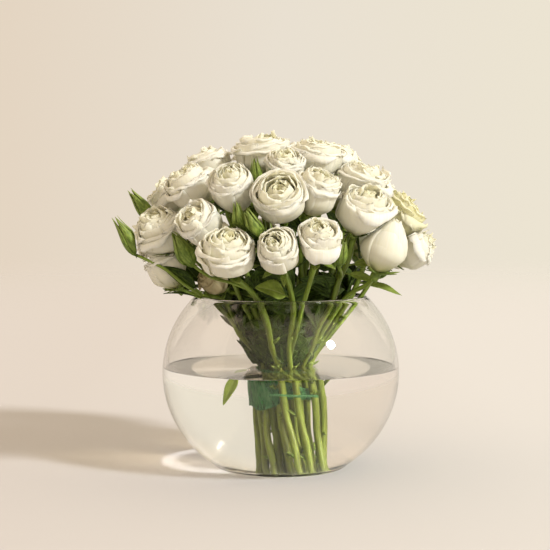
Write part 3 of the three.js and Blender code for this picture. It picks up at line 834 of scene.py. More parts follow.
def heart_grid(head, angle, draw):
    """The scroll in the middle: one sheet that winds inwards."""
    u, v = np.meshgrid(np.linspace(0, 1, HEART_ROWS), np.linspace(0, 1, HEART_COLUMNS), indexing="ij")
    size = lerp(*HEART_SIZE, math.sqrt(head.open))
    crimp = 0.014 * v**3 * np.sin(11 * u * math.pi + draw["phase"])
    r = size * (1 - 0.82 * u) * (0.75 + 0.35 * v) + crimp
    z = 0.4 + (0.58 - 0.03 * u) * v + 0.02 * v**3 * np.cos(9 * u * math.pi)
    a = angle + HEART_TURNS * 2 * math.pi * u
    drift = [d * head.radius * (0.4 + 0.6 * v) for d in head.drift]
    return head.at(r * head.radius, a, z * head.height * SHOWN_HEIGHT, drift)


print("a heart winds round", HEART_TURNS, "times")

# %% Make the roses
FLIP_CHANCE = 0.3  # that an outer petal's rim rolls right over
FLIP = 2.2
# The rose low at the left takes the tan petals of painted shade.
LOOKS = {"right_side_1": YOUNG_PETAL, "front_left_low_2": SHADE_PAINTED_PETAL}  # the others are in full bloom


def petal_draw(depth):
    """What chance gives one petal. The outer ones vary most."""
    flip = FLIP if rng.uniform() < FLIP_CHANCE * (1 - depth) else 1.0
    return {
        "tall": rng.uniform(0.90, 1.07 - 0.03 * depth),
        "tilt": rng.uniform(-0.09, 0.09),
        "curl": rng.uniform(0.5, 1.4) * flip,
        "lean": rng.uniform(-0.08, 0.08) + 0.05 * (flip - 1),
        "flare": rng.uniform(-0.04, 0.05),
        "waves": rng.uniform(0.9, 1.8 + depth),
        "phase": rng.uniform(0, 2 * math.pi),
        "twist": rng.uniform(-0.25, 0.25),
        "broad": rng.uniform(0.92, 1.1),
        "point": rng.uniform(0.0, 0.09) * (1 - 0.5 * depth),
    }


def rose(name, head):
    piece = Piece("petals_" + name, "rose_petal", "rose_" + name)
    turn = rng.uniform(0, 2 * math.pi)
    head.drift = (DRIFT * math.cos(turn), DRIFT * math.sin(turn))
    look = LOOKS.get(name, PETAL)
    start = 0.0
    for number, parts in enumerate(LAYERS):
        depth = number / len(LAYERS)
        for i in range(parts["n"]):
            angle = start + 2 * math.pi * i / parts["n"] + rng.uniform(-0.25, 0.25)
            grid = petal_grid(head, parts, angle, depth, petal_draw(depth))
            places = sheet_places(PETAL_ROWS, PETAL_COLUMNS, depth)
            piece.add(sheet(grid, PETAL_THICKNESS), places, look)
        start += rng.uniform(0.5, 0.8)
    heart = heart_grid(head, start, petal_draw(1))
    piece.add(sheet(heart, PETAL_THICKNESS), sheet_places(HEART_ROWS, HEART_COLUMNS, 1.0), look)
    return piece.build()


for spray in sprays:
    for number, head in enumerate(spray.flowers, 1):
        rose(f"{spray.name}_{number}", head)
print("made", sum(len(s.flowers) for s in sprays), "roses")

# %% [markdown]
# ## Where the stems run
# The stems stand in a tied bundle: they lean round each other like the sticks of a wigwam, pass through
# a narrow neck just above the water, and fan out over the bowl's mouth to their flowers. Their places
# in the bundle are pushed apart by as much as two stems need, and then each stem is one bent line. A
# physics engine could settle them, but a few hundred gentle pushes do the same and always end alike.

# %% Places in the bundle
STEM_RADIUS = 2.8
STEM_SPACING = 2 * STEM_RADIUS + 1.1
BUNDLE_RADIUS = 23
LOWEST_RISE = 9  # a flower this many degrees up has its stem at the bundle's edge
PARTING_ROUNDS = 300
TAPE_CENTRE = np.array([-4.5, 3.0])
TAPE_RADIUS = 21
TAPE_THICKNESS = 0.8
TAPE_CLEARANCE = 1.06 * STEM_RADIUS + TAPE_THICKNESS / 2 + 2.5 * GAP


def first_spot(spray):
    """A stem's place before the pushing, and how far out it is as a share of the bundle's radius."""
    mean = unit(sum(heading(*place_angles(f)) for f in spray.flowers))
    lowest = math.sin(math.radians(90 - LOWEST_RISE) / 2)
    share = min(math.sin(math.acos(mean[2]) / 2) / lowest, 1)
    return unit(mean[:2]) * share * BUNDLE_RADIUS, share


def place_angles(head):
    """Where a head lies on the dome, as degrees round and degrees up."""
    flat = unit((head.centre - DOME_CENTRE) / DOME_RADIUS)
    return math.degrees(math.atan2(flat[0], -flat[1])), math.degrees(math.asin(flat[2]))


def part_spots(a, b):
    """Pushes two places apart, each by half of what they lack."""
    apart = b - a
    distance = np.linalg.norm(apart)
    if distance < STEM_SPACING:
        push = apart / distance * (STEM_SPACING - distance) / 2
        a -= push
        b += push


def keep_clear_of_tape(spot):
    """Moves a place off the line of the tape, to the side that it is already on."""
    from_tape = spot - TAPE_CENTRE
    off = np.linalg.norm(from_tape) - TAPE_RADIUS
    if abs(off) < TAPE_CLEARANCE:
        spot[:] = TAPE_CENTRE + unit(from_tape) * (TAPE_RADIUS + math.copysign(TAPE_CLEARANCE, off))


for spray in sprays:
    spray.spot, spray.share = first_spot(spray)
for _ in range(PARTING_ROUNDS):
    for spray in sprays:
        for other in sprays:
            if other is not spray:
                part_spots(spray.spot, other.spot)
        keep_clear_of_tape(spray.spot)
        spray.spot *= min(1, BUNDLE_RADIUS / np.linalg.norm(spray.spot))
print("the bundle's outermost stem is", round(max(np.linalg.norm(s.spot) for s in sprays), 1), "mm out")

# %% [markdown]
# ## Stem routes
# A stem's route has a few fixed points: its cut end on the glass, the neck, the bowl's mouth, and a bend
# up into the cup under its first flower. A bud's stalk leaves it at the mouth, and a second flower's
# forks low in the bowl. Real stems are never quite straight, so the route is rounded and then shifted by
# a fraction of a millimetre here and there.

# %% Routes
BOWL_FLOOR = 5.5
BOWL_HEIGHT = 145
WATER_LEVEL = 84.8
NECK_HEIGHT = 88
BUNDLE_SHIFT = 4  # how far right of the bowl's axis the bundle stands at its neck, and at its foot
FOOT_SHIFT = 9
BUNDLE_TWIST = math.radians(30)
FAN_RADIUS = 64
FAN_SHIFT = 2
CUP_HEIGHT = 8
CUP_RADIUS = 4.2
BUD_CUP_HEIGHT = 5
STALK_STEPS = 3
MOUTH_POINT = 2  # which point of a stem's route lies in the bowl's mouth
FORK_HEIGHT = 94
FORK_SPREAD = 9


def in_bundle(spot, z):
    """Where a place in the bundle lies at a height."""
    c, s = math.cos(BUNDLE_TWIST), math.sin(BUNDLE_TWIST)
    foot = np.array([spot[0] * c - spot[1] * s, spot[0] * s + spot[1] * c])
    rise = (z - BOWL_FLOOR) / (NECK_HEIGHT - BOWL_FLOOR)
    x, y = lerp(foot, spot, rise)
    return np.array([x + lerp(FOOT_SHIFT, BUNDLE_SHIFT, rise), y, z])


def cup_middle(head):
    """Where a head's stalk ends, inside its cup."""
    return head.at(0, 0, -0.5 * (BUD_CUP_HEIGHT if head.open is None else CUP_HEIGHT))


def bent_clear(point, goal):
    """A point of the way to one head, moved out of any other head."""
    for head in heads:
        away = point - head.centre
        room = max(head.width, head.height) / 2 + STEM_RADIUS + GAP
        if head is not goal and np.linalg.norm(away) < room:
            point = head.centre + unit(away) * room
    return point


def way_to(head, start, out):
    """Points from a start, which is left in the direction `out`, up into a head's cup."""
    end = cup_middle(head)
    reach = np.linalg.norm(end - start) / 3
    controls = [start, start + out * reach, end - head.axis * reach, end]
    points = bezier(controls, np.linspace(0, 1, STALK_STEPS + 1))
    inner = [bent_clear(point, head) for point in points[1:-1]]
    return [start, *inner, end]


def point_at_height(points, z):
    """Where a list of rising points passes a height."""
    above = next(i for i, p in enumerate(points) if p[2] > z)
    low, high = points[above - 1], points[above]
    return lerp(low, high, (z - low[2]) / (high[2] - low[2]))


def main_route(spray):
    """A stem's route, from its foot on the glass to its first flower."""
    neck = in_bundle(spray.spot, NECK_HEIGHT)
    lean = unit(in_bundle(spray.spot, BOWL_FLOOR) - neck)
    foot = in_bundle(spray.spot, BOWL_FLOOR + GAP + STEM_RADIUS * math.hypot(lean[0], lean[1]))
    fan = unit(spray.spot) * spray.share * FAN_RADIUS
    mouth = np.array([fan[0] + FAN_SHIFT, fan[1], BOWL_HEIGHT])
    return [foot, neck, *way_to(spray.flowers[0], mouth, unit(mouth - neck))]


def side_route(spray, head):
    """A bud's stalk leaves the stem above the bowl, a second flower's low down in it."""
    if head.via:
        return [spray.main[MOUTH_POINT], *head.via, cup_middle(head)]
    if head.open is None:
        out = unit(spray.main[MOUTH_POINT + 2] - spray.main[MOUTH_POINT])
        return way_to(head, spray.main[MOUTH_POINT + 1], out)
    start = point_at_height(spray.main, FORK_HEIGHT)
    aside = (head.centre - spray.flowers[0].centre) * (1, 1, 0)
    mouth = spray.main[MOUTH_POINT] + unit(aside) * FORK_SPREAD
    return [start, *way_to(head, mouth, unit(mouth - start))]


for spray in sprays:
    spray.main = main_route(spray)
print("stems are about", round(np.mean([s.main[1][2] for s in sprays])), "mm up at the neck")

# %% Rounding a route
STEP = 4.0  # between the points of a rounded route
ROUNDING = 3  # how many times its corners are eased
STEADY_END = 12  # towards its ends a route wanders less
WANDER_PITCH = (38, 60)


def rounded(points, wander=0.0):
    """A route with a point every few millimetres, its corners eased and its line not quite straight."""
    points = np.array(points)
    lengths = np.linalg.norm(np.diff(points, axis=0), axis=1)
    along = np.concatenate([[0], np.cumsum(lengths)])
    count = max(int(along[-1] / STEP), 4)
    even = np.linspace(0, along[-1], count + 1)
    line = np.stack([np.interp(even, along, points[:, k]) for k in range(3)], -1)
    for _ in range(ROUNDING):
        line[1:-1] = (line[:-2] + 2 * line[1:-1] + line[2:]) / 4
    fade = np.minimum(1, np.minimum(even, along[-1] - even) / STEADY_END)[:, None]
    phase = rng.uniform(0, 2 * math.pi, 3)
    pitch = rng.uniform(*WANDER_PITCH)
    return line + wander * fade * np.sin(2 * math.pi * even[:, None] / pitch + phase)


print("a rounded route has a point every", STEP, "mm")

# %% [markdown]
# ## Stems, knots and thorns
# A stem of a spray rose is 5 to 6 mm thick, swells at each knot where a leaf once grew, and keeps a few
# thorns and leaf stubs when it is stripped by hand. They catch the light as small sharp marks along it.
# A stem could be a curve with a bevel, but its swellings need a radius of their own at each point.

# %% Stems and thorns
KNOT_SPACING = 46
KNOT_LENGTH = 3.0
KNOT_SWELLING = 0.16
STEM_TAPER = 0.10
STEM_WANDER = 0.7
THORN_SIZE = (2.0, 3.6)
THORN_RADII = [1.5, 1.2, 0.6, 0.12]


def knotted(line, radius, offset):
    """The radius at each point of a stem: a slow taper, and a swelling at each knot."""
    along = np.arange(len(line)) * STEP + offset
    knots = np.exp(-(((along % KNOT_SPACING) - KNOT_SPACING / 2) / KNOT_LENGTH) ** 2)
    return radius * (1 - STEM_TAPER * np.linspace(0, 1, len(line))) * (1 + KNOT_SWELLING * knots)


def add_tube(piece, line, radii, material, start=0.0, end=1.0, sides=9):
    places = tube_places(len(line), sides, start, end, rng.uniform())
    piece.add(tube(np.asarray(line), radii, sides), places, material)


def outward(line, index):
    """A direction square to a stem at one of its points, by chance."""
    turn = rng.uniform(0, 2 * math.pi)
    x, y = carried_frames(line)
    return x[index] * math.cos(turn) + y[index] * math.sin(turn)


def add_thorn(piece, line, index):
    """A thorn: broad at its root, hooked down."""
    out = outward(line, index)
    root = line[index] + out * STEM_RADIUS * 0.8
    size = rng.uniform(*THORN_SIZE)
    tip = root + out * size - np.array([0, 0, 0.45 * size])
    middle = lerp(root, tip, 0.5) + np.array([0, 0, 0.12 * size])
    add_tube(piece, [root - out, root, middle, tip], THORN_RADII, STEM_SKIN, 0.3, 0.6, 6)


print("a stem has a knot every", KNOT_SPACING, "mm")

# %% [markdown]
# ## Leaf blades
# A rose leaflet is oval with a drawn-out tip and a saw-toothed edge, folded a little along its midrib,
# and it bends down under its own weight. The blade is one sheet, with the teeth in its outline, so the
# cut edge also shows against the light.

# %% Blades
BLADE_ROWS = 9
BLADE_THICKNESS = 0.5
TEETH = 11
TOOTH_DEPTH = 0.09
LONG_BLADE = 15  # a blade over this length is drawn with enough points for its teeth
LEAF_SAG = 0.16
PETIOLE_SHARE = 0.2  # of a leaf's length


def blade_grid(root, along, face, length, width, sag, fold, wave, columns):
    """A leaf blade as a grid of points, root to tip along its columns."""
    side = unit(np.cross(face, along))
    up = np.cross(along, side)
    u, v = np.meshgrid(np.linspace(-1, 1, BLADE_ROWS), np.linspace(0, 1, columns), indexing="ij")
    outline = np.sin(math.pi * v**0.85) ** 0.8 * (1 - 0.25 * v) + 0.015
    teeth = 1 - TOOTH_DEPTH * ((v * TEETH) % 1.0) * (np.abs(u) > 0.9)
    half = width / 2 * outline * teeth
    lift = fold * half * np.abs(u) ** 1.3 + wave * width * np.sin(9 * v + 2.5 * u) * np.abs(u) ** 2
    points = root + along * (length * v)[..., None] + side * (u * half)[..., None] + up * lift[..., None]
    points[..., 2] -= sag * length * v**2
    return points


def add_blade(piece, root, along, face, length, width, material, sag=LEAF_SAG, fold=0.3, wave=0.04):
    columns = 24 if length > LONG_BLADE else 9
    grid = blade_grid(root, along, face, length, width, sag, fold, wave, columns)
    piece.add(sheet(grid, BLADE_THICKNESS), sheet_places(BLADE_ROWS, columns, rng.uniform()), material)


def add_leaf(piece, root, along, face, length, width, material):
    """A leaf: a thin stalk of its own, then the blade."""
    ts = np.linspace(0, PETIOLE_SHARE, 4)
    stalk = [root + along * length * t - np.array([0, 0, LEAF_SAG * length * t * t]) for t in ts]
    add_tube(piece, stalk, np.linspace(1.0, 0.7, 4), STEM_SKIN, 0.5, 0.9, 6)
    direction = unit(along - np.array([0, 0, 2 * LEAF_SAG * PETIOLE_SHARE]))
    add_blade(piece, stalk[-1], direction, face, length * (1 - PETIOLE_SHARE), width, material)


print("a leaf has", TEETH, "teeth on each side")

# %% Stubs
STUB_LENGTH = (4, 8)
STUB_RADII = [1.4, 1.1, 1.0]
STIPULE_LENGTH = (5, 9)
STIPULE_WIDTH = 2.4


def add_stub(piece, line, index):
    """What is left of a stalk that was cut off at a knot, with its two small stipules."""
    out = outward(line, index)
    up = unit(line[index + 1] - line[index])
    way = unit(out + 0.8 * up)
    root = line[index] + out * STEM_RADIUS * 0.6
    length = rng.uniform(*STUB_LENGTH)
    stub = [root, root + way * length / 2, root + way * length]
    add_tube(piece, stub, STUB_RADII, STEM_SKIN, 0.5, 0.9, 7)
    for side in (-1, 1):
        along = unit(way + side * 0.7 * np.cross(out, up))
        add_blade(piece, root, along, out, rng.uniform(*STIPULE_LENGTH), STIPULE_WIDTH, SEPAL, sag=-0.1)


print("a stub is", STUB_LENGTH[0], "to", STUB_LENGTH[1], "mm long")

# %% [markdown]
# ## Cups, sepals and buds
# Under each rose sits a green cup, the hip, with five narrow sepals that bend back as the flower opens.
# About a third of them stand away from the petals and hang a little. Around a bud the same five sepals
# are still closed, and their long tips stand out past it. They could be modelled once and copied, but
# each head has its own size and facing, so all are shaped in the head's own frame, as the petals are.

# %% Sepals
SEPALS = 5
SEPAL_ROWS = 5
SEPAL_THICKNESS = 0.5
LOOSE_SHARE = 0.35  # of the sepals, that stand away from the flower
CUP_STEPS = 12
CUP_OUTLINE = [
    (2.0, -CUP_HEIGHT - 1), (2.6, -CUP_HEIGHT), (CUP_RADIUS, -0.55 * CUP_HEIGHT), (3.9, -2.0), (3.2, -GAP),
]


def add_sepal(piece, head, angle, line, half_width, columns):
    """A sepal along a line of (radius, height) points, half_width millimetres wide at its widest."""
    u, v = np.meshgrid(np.linspace(-1, 1, SEPAL_ROWS), np.linspace(0, 1, columns), indexing="ij")
    profile = bezier(line, v)
    width = half_width * np.sin(math.pi * (0.12 + 0.88 * v)) ** 0.9 + 0.12
    r, z = profile[..., 0], profile[..., 1]
    a = angle + u * width / np.maximum(r, 1.5)
    grid = head.at(r, a, z + 0.10 * half_width * u**2)
    piece.add(sheet(grid, SEPAL_THICKNESS), sheet_places(SEPAL_ROWS, columns, rng.uniform()), SEPAL)


def add_round(piece, head, rows, steps, top, end, ribs=0.0):
    """A closed green body from rows of (radius, height), with five soft ribs if it has any."""
    turn = np.linspace(0, 2 * math.pi, steps, endpoint=False)
    rings = []
    for radius, z in rows:
        ribbed = radius * (1 + ribs * np.cos(SEPALS * turn + 4 * z / head.height))
        rings.append(head.at(ribbed, turn, np.full(steps, z)))
    ends = [head.at(0, 0, rows[0][1]), head.at(0, 0, top)]
    points = np.concatenate([*rings, ends])
    faces = ring_faces(len(rows), steps, len(points) - 2, len(points) - 1)
    places = tube_places(len(rows), steps, 0.2, end, rng.uniform())
    piece.add((points, faces, [True] * len(faces)), places, SEPAL)


def add_cup(piece, head):
    """The hip under a rose, and its sepals bent back."""
    add_round(piece, head, CUP_OUTLINE, CUP_STEPS, CUP_OUTLINE[-1][1], 0.8)
    for i in range(SEPALS):
        loose = rng.uniform() < LOOSE_SHARE
        reach = head.radius * (rng.uniform(1.0, 1.2) if loose else rng.uniform(0.75, 1.0))
        sag = rng.uniform(1, 4) if loose else 0.0
        tip = rng.uniform(-7, 4) * head.open + 3 - 1.2 * sag
        line = [(3.0, -1.6), (0.4 * reach, -1.4), (0.72 * reach, 1.2 - sag), (reach, tip)]
        angle = 2 * math.pi * i / SEPALS + rng.uniform(-0.15, 0.15)
        add_sepal(piece, head, angle, line, rng.uniform(3.0, 4.2) - 1.2 * loose, 9)


print("each cup has", SEPALS, "sepals")

# %% Buds
BUD_STEPS = 15
BUD_RIBS = 0.04


def add_bud(piece, head):
    """A closed bud: the rolled petals inside, and five sepals that clasp them."""
    r, h = head.radius, head.height
    cup = [(1.4, -BUD_CUP_HEIGHT), (0.5 * r, -0.3 * BUD_CUP_HEIGHT)]
    widest = [(0.9 * r, 0.18 * h), (0.93 * r, 0.34 * h), (0.72 * r, 0.56 * h)]
    point = [(0.40 * r, 0.74 * h), (0.1 * r, 0.86 * h)]
    add_round(piece, head, cup + widest + point, BUD_STEPS, 0.87 * h, 1.0, BUD_RIBS)
    for i in range(SEPALS):
        tip = h * rng.uniform(0.93, 1.1)
        line = [(0.55 * r, -0.2 * BUD_CUP_HEIGHT), (1.22 * r, 0.12 * h), (1.12 * r, 0.5 * h)]
        line += [(0.4 * r, 0.7 * h), (0.35 * r, tip)]
        add_sepal(piece, head, 2 * math.pi * i / SEPALS, line, 0.42 * r, 11)


print("there are", sum(len(s.buds) for s in sprays), "buds to make")

# %% [markdown]
# ## One green piece for each spray
# Stem, side stalks, cups, buds and leaves grew as one, so they are one piece for each spray. Each stem
# also has the many small leaves that fill the fan between the stems and make its inside nearly black.
# At the front they lie deeper, behind the stems, which stay clear to see.

# %% The leafy fan
FAN_NECK = 38  # how far out leaves reach at the neck, and at the rim
FAN_MOUTH = 85
FRONT_SHARE = 0.7  # of that, which they reach at the front
EASED_FROM = 0.85  # of the limit: points further out are eased inwards
EASING = 0.3


def fan_radius(x, y, z):
    """How far out leaves may reach, in the direction and at the height of a point."""
    height = np.clip((z - NECK_HEIGHT) / (BOWL_HEIGHT - NECK_HEIGHT), 0, 1.3)
    back = np.clip(0.1 + y / (np.hypot(x, y) + 1e-6), 0, 1)
    return lerp(FRONT_SHARE, 1.0, back) * lerp(FAN_NECK, FAN_MOUTH, height)


def kept_in_fan(grid):
    """Eases points inwards that lie past the fan's limit."""
    x, y, z = np.moveaxis(grid, -1, 0)
    share = np.hypot(x, y) / fan_radius(x, y, z)
    eased = EASED_FROM + (1 - EASED_FROM) * np.tanh((share - EASED_FROM) / EASING)
    pull = np.where(share > EASED_FROM, eased, share) / np.maximum(share, 1e-6)
    return np.stack([x * pull, y * pull, z], -1)


print("leaves reach", round(float(fan_radius(0, 1, BOWL_HEIGHT))), "mm out at the back of the rim")

# %% Inner leaves
INNER_LEAVES = 36  # for each stem
INNER_LENGTH = (18, 36)
INNER_WIDTH = (8, 15)
INNER_COLUMNS = 16
UNDER_FLOWER = 14  # the highest inner leaf starts this far under its flower


def add_inner_leaves(piece, spray):
    """Leaves that grow from the stem and fill the fan and the dome behind the flowers."""
    highest = spray.flowers[0].base[2] - UNDER_FLOWER
    for _ in range(INNER_LEAVES):
        root = point_at_height(spray.main, lerp(NECK_HEIGHT - 1, highest, rng.uniform() ** 2))
        length, width = rng.uniform(*INNER_LENGTH), rng.uniform(*INNER_WIDTH)
        turn = math.atan2(root[1], root[0] - FAN_SHIFT) + rng.uniform(-1.1, 1.1)
        out = np.array([math.cos(turn), math.sin(turn), 0.0])
        tip_height = root[2] + length * rng.uniform(0.2, 0.9)
        tip = out * fan_radius(*out[:2], tip_height) * math.sqrt(rng.uniform(0.35, 1.1))
        tip[2] = tip_height
        face = unit(out * rng.uniform(0.6, 1.2) + 0.4 * rng.normal(size=3))
        grid = blade_grid(root, unit(tip - root), face, length, width, 0.1, 0.3, 0.05, INNER_COLUMNS)
        places = sheet_places(BLADE_ROWS, INNER_COLUMNS, rng.uniform())
        piece.add(sheet(kept_in_fan(grid), BLADE_THICKNESS), places, LEAF)


print("there are", INNER_LEAVES * len(sprays), "inner leaves to make")

# %% Greenery
SHOWN_STEM_RADIUS = 2.5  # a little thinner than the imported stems, so that gaps show between them
BRANCH_RADIUS = 1.9
BUD_STALK_RADIUS = 1.3
BRANCH_WANDER = 0.3
MARKED_POINTS = range(4, 34)  # the points of a stem that may carry a thorn or a stub
THORN_CHANCE = 0.14
STUB_CHANCE = 0.11
YOUNG_SPRAYS = ("front_low", "front_right", "right_side")  # their leaves are young
YOUNG_LENGTH = 25  # and so is every leaf shorter than this


def add_stem(piece, spray):
    """The main stem, with its thorns and stubs."""
    line = rounded(spray.main, STEM_WANDER)
    offset = rng.uniform(0, KNOT_SPACING)
    add_tube(piece, line, knotted(line, SHOWN_STEM_RADIUS, offset), STEM_SKIN, 0.0, 0.8)
    for index in MARKED_POINTS:
        chance = rng.uniform()
        if chance < THORN_CHANCE:
            add_thorn(piece, line, index)
        elif chance > 1 - STUB_CHANCE:
            add_stub(piece, line, index)


def add_stalk(piece, spray, head, radius, sides):
    stalk = rounded(side_route(spray, head), BRANCH_WANDER)
    add_tube(piece, stalk, np.full(len(stalk), radius), STEM_SKIN, 0.6, 1.0, sides)


def greenery(spray):
    piece = Piece("green_" + spray.name, "rose_green", "stem_" + spray.name)
    add_stem(piece, spray)
    for number, head in enumerate(spray.flowers):
        add_cup(piece, head)
        if number:
            add_stalk(piece, spray, head, BRANCH_RADIUS, 9)
    for head in spray.buds:
        add_bud(piece, head)
        add_stalk(piece, spray, head, BUD_STALK_RADIUS, 7)
    for values in spray.leaves:
        start = values["from"]
        root = point_at_height(spray.main, start) if np.ndim(start) == 0 else np.array(start)
        along, face = heading(*values["along"]), heading(*values["face"])
        young = spray.name in YOUNG_SPRAYS or values["length"] < YOUNG_LENGTH
        look = YOUNG_LEAF if young else LEAF
        add_leaf(piece, root, along, face, values["length"], values["width"], look)
    add_inner_leaves(piece, spray)
    return piece.build()


for spray in sprays:
    greenery(spray)
print("made", len(sprays), "green sprays")

# %% [markdown]
# ## The tape
# A florist binds the bundle with a stretch of waxed green crepe tape. Wet, it turns half see-through
# and bluish. The band is one sheet that runs round inside the bundle's edge, crumpled where stems press
# on it, broad at the left and gathered narrow at the right. Its loose end is a thin strip that crosses
# the front stems. Cloth simulation could crumple it, but a few waves do the same and stay in place.

# %% Tape material
TAPE_GLOW = 0.3  # the share of light that comes through
TAPE_COVER = 0.5  # how much of what lies behind it the wet tape hides


def waxed_tape():
    material, output = new_material("waxed crepe tape, wet")
    noise = grain(material, (30.0, 2.5, 9.0), 1.0, 4.0)
    green = ramp(material, noise, [(0.3, "#427F4C"), (0.5, "#5C9C64"), (0.7, "#88BA84")])
    finish = {"Roughness": 0.35, "IOR": 1.45, "Alpha": TAPE_COVER}
    normal = relief(material, noise, 0.6, 0.6)
    thin_tissue(material, output, green, normal, finish, green, TAPE_GLOW)
    return material


TAPE = waxed_tape()
print("made", TAPE.name)

# %% Tape
TAPE_ROWS, TAPE_COLUMNS = 97, 7
TAPE_MIDDLE = 68
TAPE_HEIGHT = 20
TAPE_NARROW_HEIGHT = 7
TAPE_NARROW_TURN = math.radians(-30)
LOOSE_END = [(-8, -24, 67), (2, -28.5, 68.2), (11, -29, 66.3), (19, -26, 67.6), (25, -19, 66)]
LOOSE_WIDTH = 1.7


def tape_grid():
    """The band: it runs round among the stems, and leans and twists with them."""
    u, v = np.meshgrid(np.linspace(0, 1, TAPE_ROWS), np.linspace(-1, 1, TAPE_COLUMNS), indexing="ij")
    a = 2 * math.pi * u
    facing = 0.5 + 0.5 * np.cos(a - TAPE_NARROW_TURN)
    rise = lerp(TAPE_HEIGHT, TAPE_NARROW_HEIGHT, facing**2) / 2
    crumple = 1 + 0.12 * np.sin(4 * a + 2 * v) + 0.04 * np.sin(9 * a)
    z = TAPE_MIDDLE + rise * v * crumple + 1.2 * np.sin(3 * a)
    r = TAPE_RADIUS + 0.5 * np.sin(17 * a) * np.cos(2 * v) + 0.2 * np.sin(29 * a + 2 * v)
    flat = np.stack([TAPE_CENTRE[0] + r * np.cos(a), TAPE_CENTRE[1] + r * np.sin(a)], -1)
    points = [in_bundle(spot, height) for spot, height in zip(flat.reshape(-1, 2), z.ravel())]
    return np.reshape(points, (TAPE_ROWS, TAPE_COLUMNS, 3))


def loose_end_grid():
    """The tape's gathered end, which crosses the front stems."""
    line = rounded(LOOSE_END)
    half = np.array([0, 0, LOOSE_WIDTH / 2])
    return np.stack([line - half, line + 0.2 * half, line + half], 1)


tape = Piece("tape_band", "floral_tape", "stem_tape")
tape.add(sheet(tape_grid(), TAPE_THICKNESS), sheet_places(TAPE_ROWS, TAPE_COLUMNS, 0.5), TAPE)
loose_end = loose_end_grid()
tape.add(sheet(loose_end, TAPE_THICKNESS), sheet_places(*loose_end.shape[:2], 0.8), TAPE)
tape.build()
print("made the tape")

# %% [markdown]
# ## The bowl
# A blown bubble bowl is a turned shape: one outline, spun about its axis. The wall is 2.6 mm, the floor
# thicker, and the rim is melted round by fire. A Screw modifier would spin it too, but plain code can
# give the wet and the dry part of the wall each its own material. The outline has many short steps,
# because light that bends through glass shows every facet.

# %% Turned shapes
TURN_STEPS = 160


def turned(outline):
    """A closed mesh from an outline of (radius, height) points that starts and ends on the axis."""
    inner = np.array(outline[1:-1])
    turn = np.linspace(0, 2 * math.pi, TURN_STEPS, endpoint=False)
    ring = np.stack([np.cos(turn), np.sin(turn)], -1)
    rings = np.concatenate([
        inner[:, None, :1] * ring[None],
        np.broadcast_to(inner[:, None, 1:], (len(inner), TURN_STEPS, 1)),
    ], -1)
    ends = [[0, 0, outline[0][1]], [0, 0, outline[-1][1]]]
    points = np.concatenate([rings.reshape(-1, 3), ends])
    return points, ring_faces(len(inner), TURN_STEPS, len(points) - 2, len(points) - 1)


print("a turned piece has", TURN_STEPS, "steps round its axis")

# %% Outline of the bowl
BOWL_RADIUS = 100
BOWL_RISE = 94  # the outline is part of an ellipse, this high above and below its waist
BOWL_WAIST = 80
BOWL_WALL = 2.6
FOOT_ROUNDING = 3
FOOT_HOLLOW = 0.8  # the foot stands on a ring, and its middle is this far off the table
MENISCUS = 0.9  # how far the water climbs the glass
HOLLOW_FLOOR_RADIUS = 46
HOLLOW_CORNER_HEIGHT = 13


def shell_radius(z, inset):
    """The bowl's radius at a height, on a shell that lies `inset` inside its outer face."""
    return (BOWL_RADIUS - inset) * math.sqrt(1 - ((z - BOWL_WAIST) / (BOWL_RISE - inset)) ** 2)


def wall(start, end, inset, count):
    return [(shell_radius(z, inset), z) for z in np.linspace(start, end, count)]


def arc(centre, radius, start, end, count):
    turns = np.radians(np.linspace(start, end, count))
    return [(centre[0] + radius * math.cos(t), centre[1] + radius * math.sin(t)) for t in turns]


def hollow(inset):
    """The inside below the waterline, from the axis up: a flat floor, a round corner, the wall."""
    corner = bezier(
        [(HOLLOW_FLOOR_RADIUS - 6, BOWL_FLOOR + inset), (HOLLOW_FLOOR_RADIUS + 10, BOWL_FLOOR + inset),
         (shell_radius(HOLLOW_CORNER_HEIGHT, BOWL_WALL + inset) - 2, HOLLOW_CORNER_HEIGHT - 2),
         (shell_radius(HOLLOW_CORNER_HEIGHT + 4, BOWL_WALL + inset), HOLLOW_CORNER_HEIGHT + 4)],
        np.linspace(0, 1, 14),
    )
    sides = wall(HOLLOW_CORNER_HEIGHT + 5, WATER_LEVEL, BOWL_WALL + inset, 50)
    return [(0, BOWL_FLOOR + inset), *map(tuple, corner), *sides]


foot = shell_radius(FOOT_ROUNDING, 0)
rim_start = BOWL_HEIGHT - BOWL_WALL / 2
foot_edge = bezier(
    [(foot - 9, 0.0), (foot - 3, 0.0), (foot - 1.2, 1.2), (foot, FOOT_ROUNDING)], np.linspace(0, 1, 12)
)
rim_centre = (shell_radius(rim_start, BOWL_WALL / 2), rim_start)
outside = [(0, FOOT_HOLLOW), (foot - 16, FOOT_HOLLOW), (foot - 12, 0.3), *map(tuple, foot_edge)]
outside += wall(FOOT_ROUNDING + 1, rim_start - 0.5, 0, 70)
rim = arc(rim_centre, BOWL_WALL / 2, 0, 180, 9)
dry = wall(rim_start - 0.5, WATER_LEVEL + MENISCUS, BOWL_WALL, 30)
wet = hollow(0)[::-1]
wet[0] = (shell_radius(WATER_LEVEL + MENISCUS, BOWL_WALL), WATER_LEVEL + MENISCUS)
bowl_outline = outside + rim + dry[:-1] + wet
dry_count = len(outside + rim + dry[:-1])
print("the bowl's outline has", len(bowl_outline), "points")

# %% [markdown]
# ## Bowl and water as pieces
# The bowl is one closed mesh with two materials, dry and wet. The water is a closed body a hair's breadth
# inside it. Its surface is level, with a rim that climbs the glass: that small slope, the meniscus, draws
# the bright and dark line that tells the eye where the water stands. A liquid simulation would settle to
# the same level shape, so the shape is given at once.

# %% Build the bowl and the water
WATER_INSET = 0.04


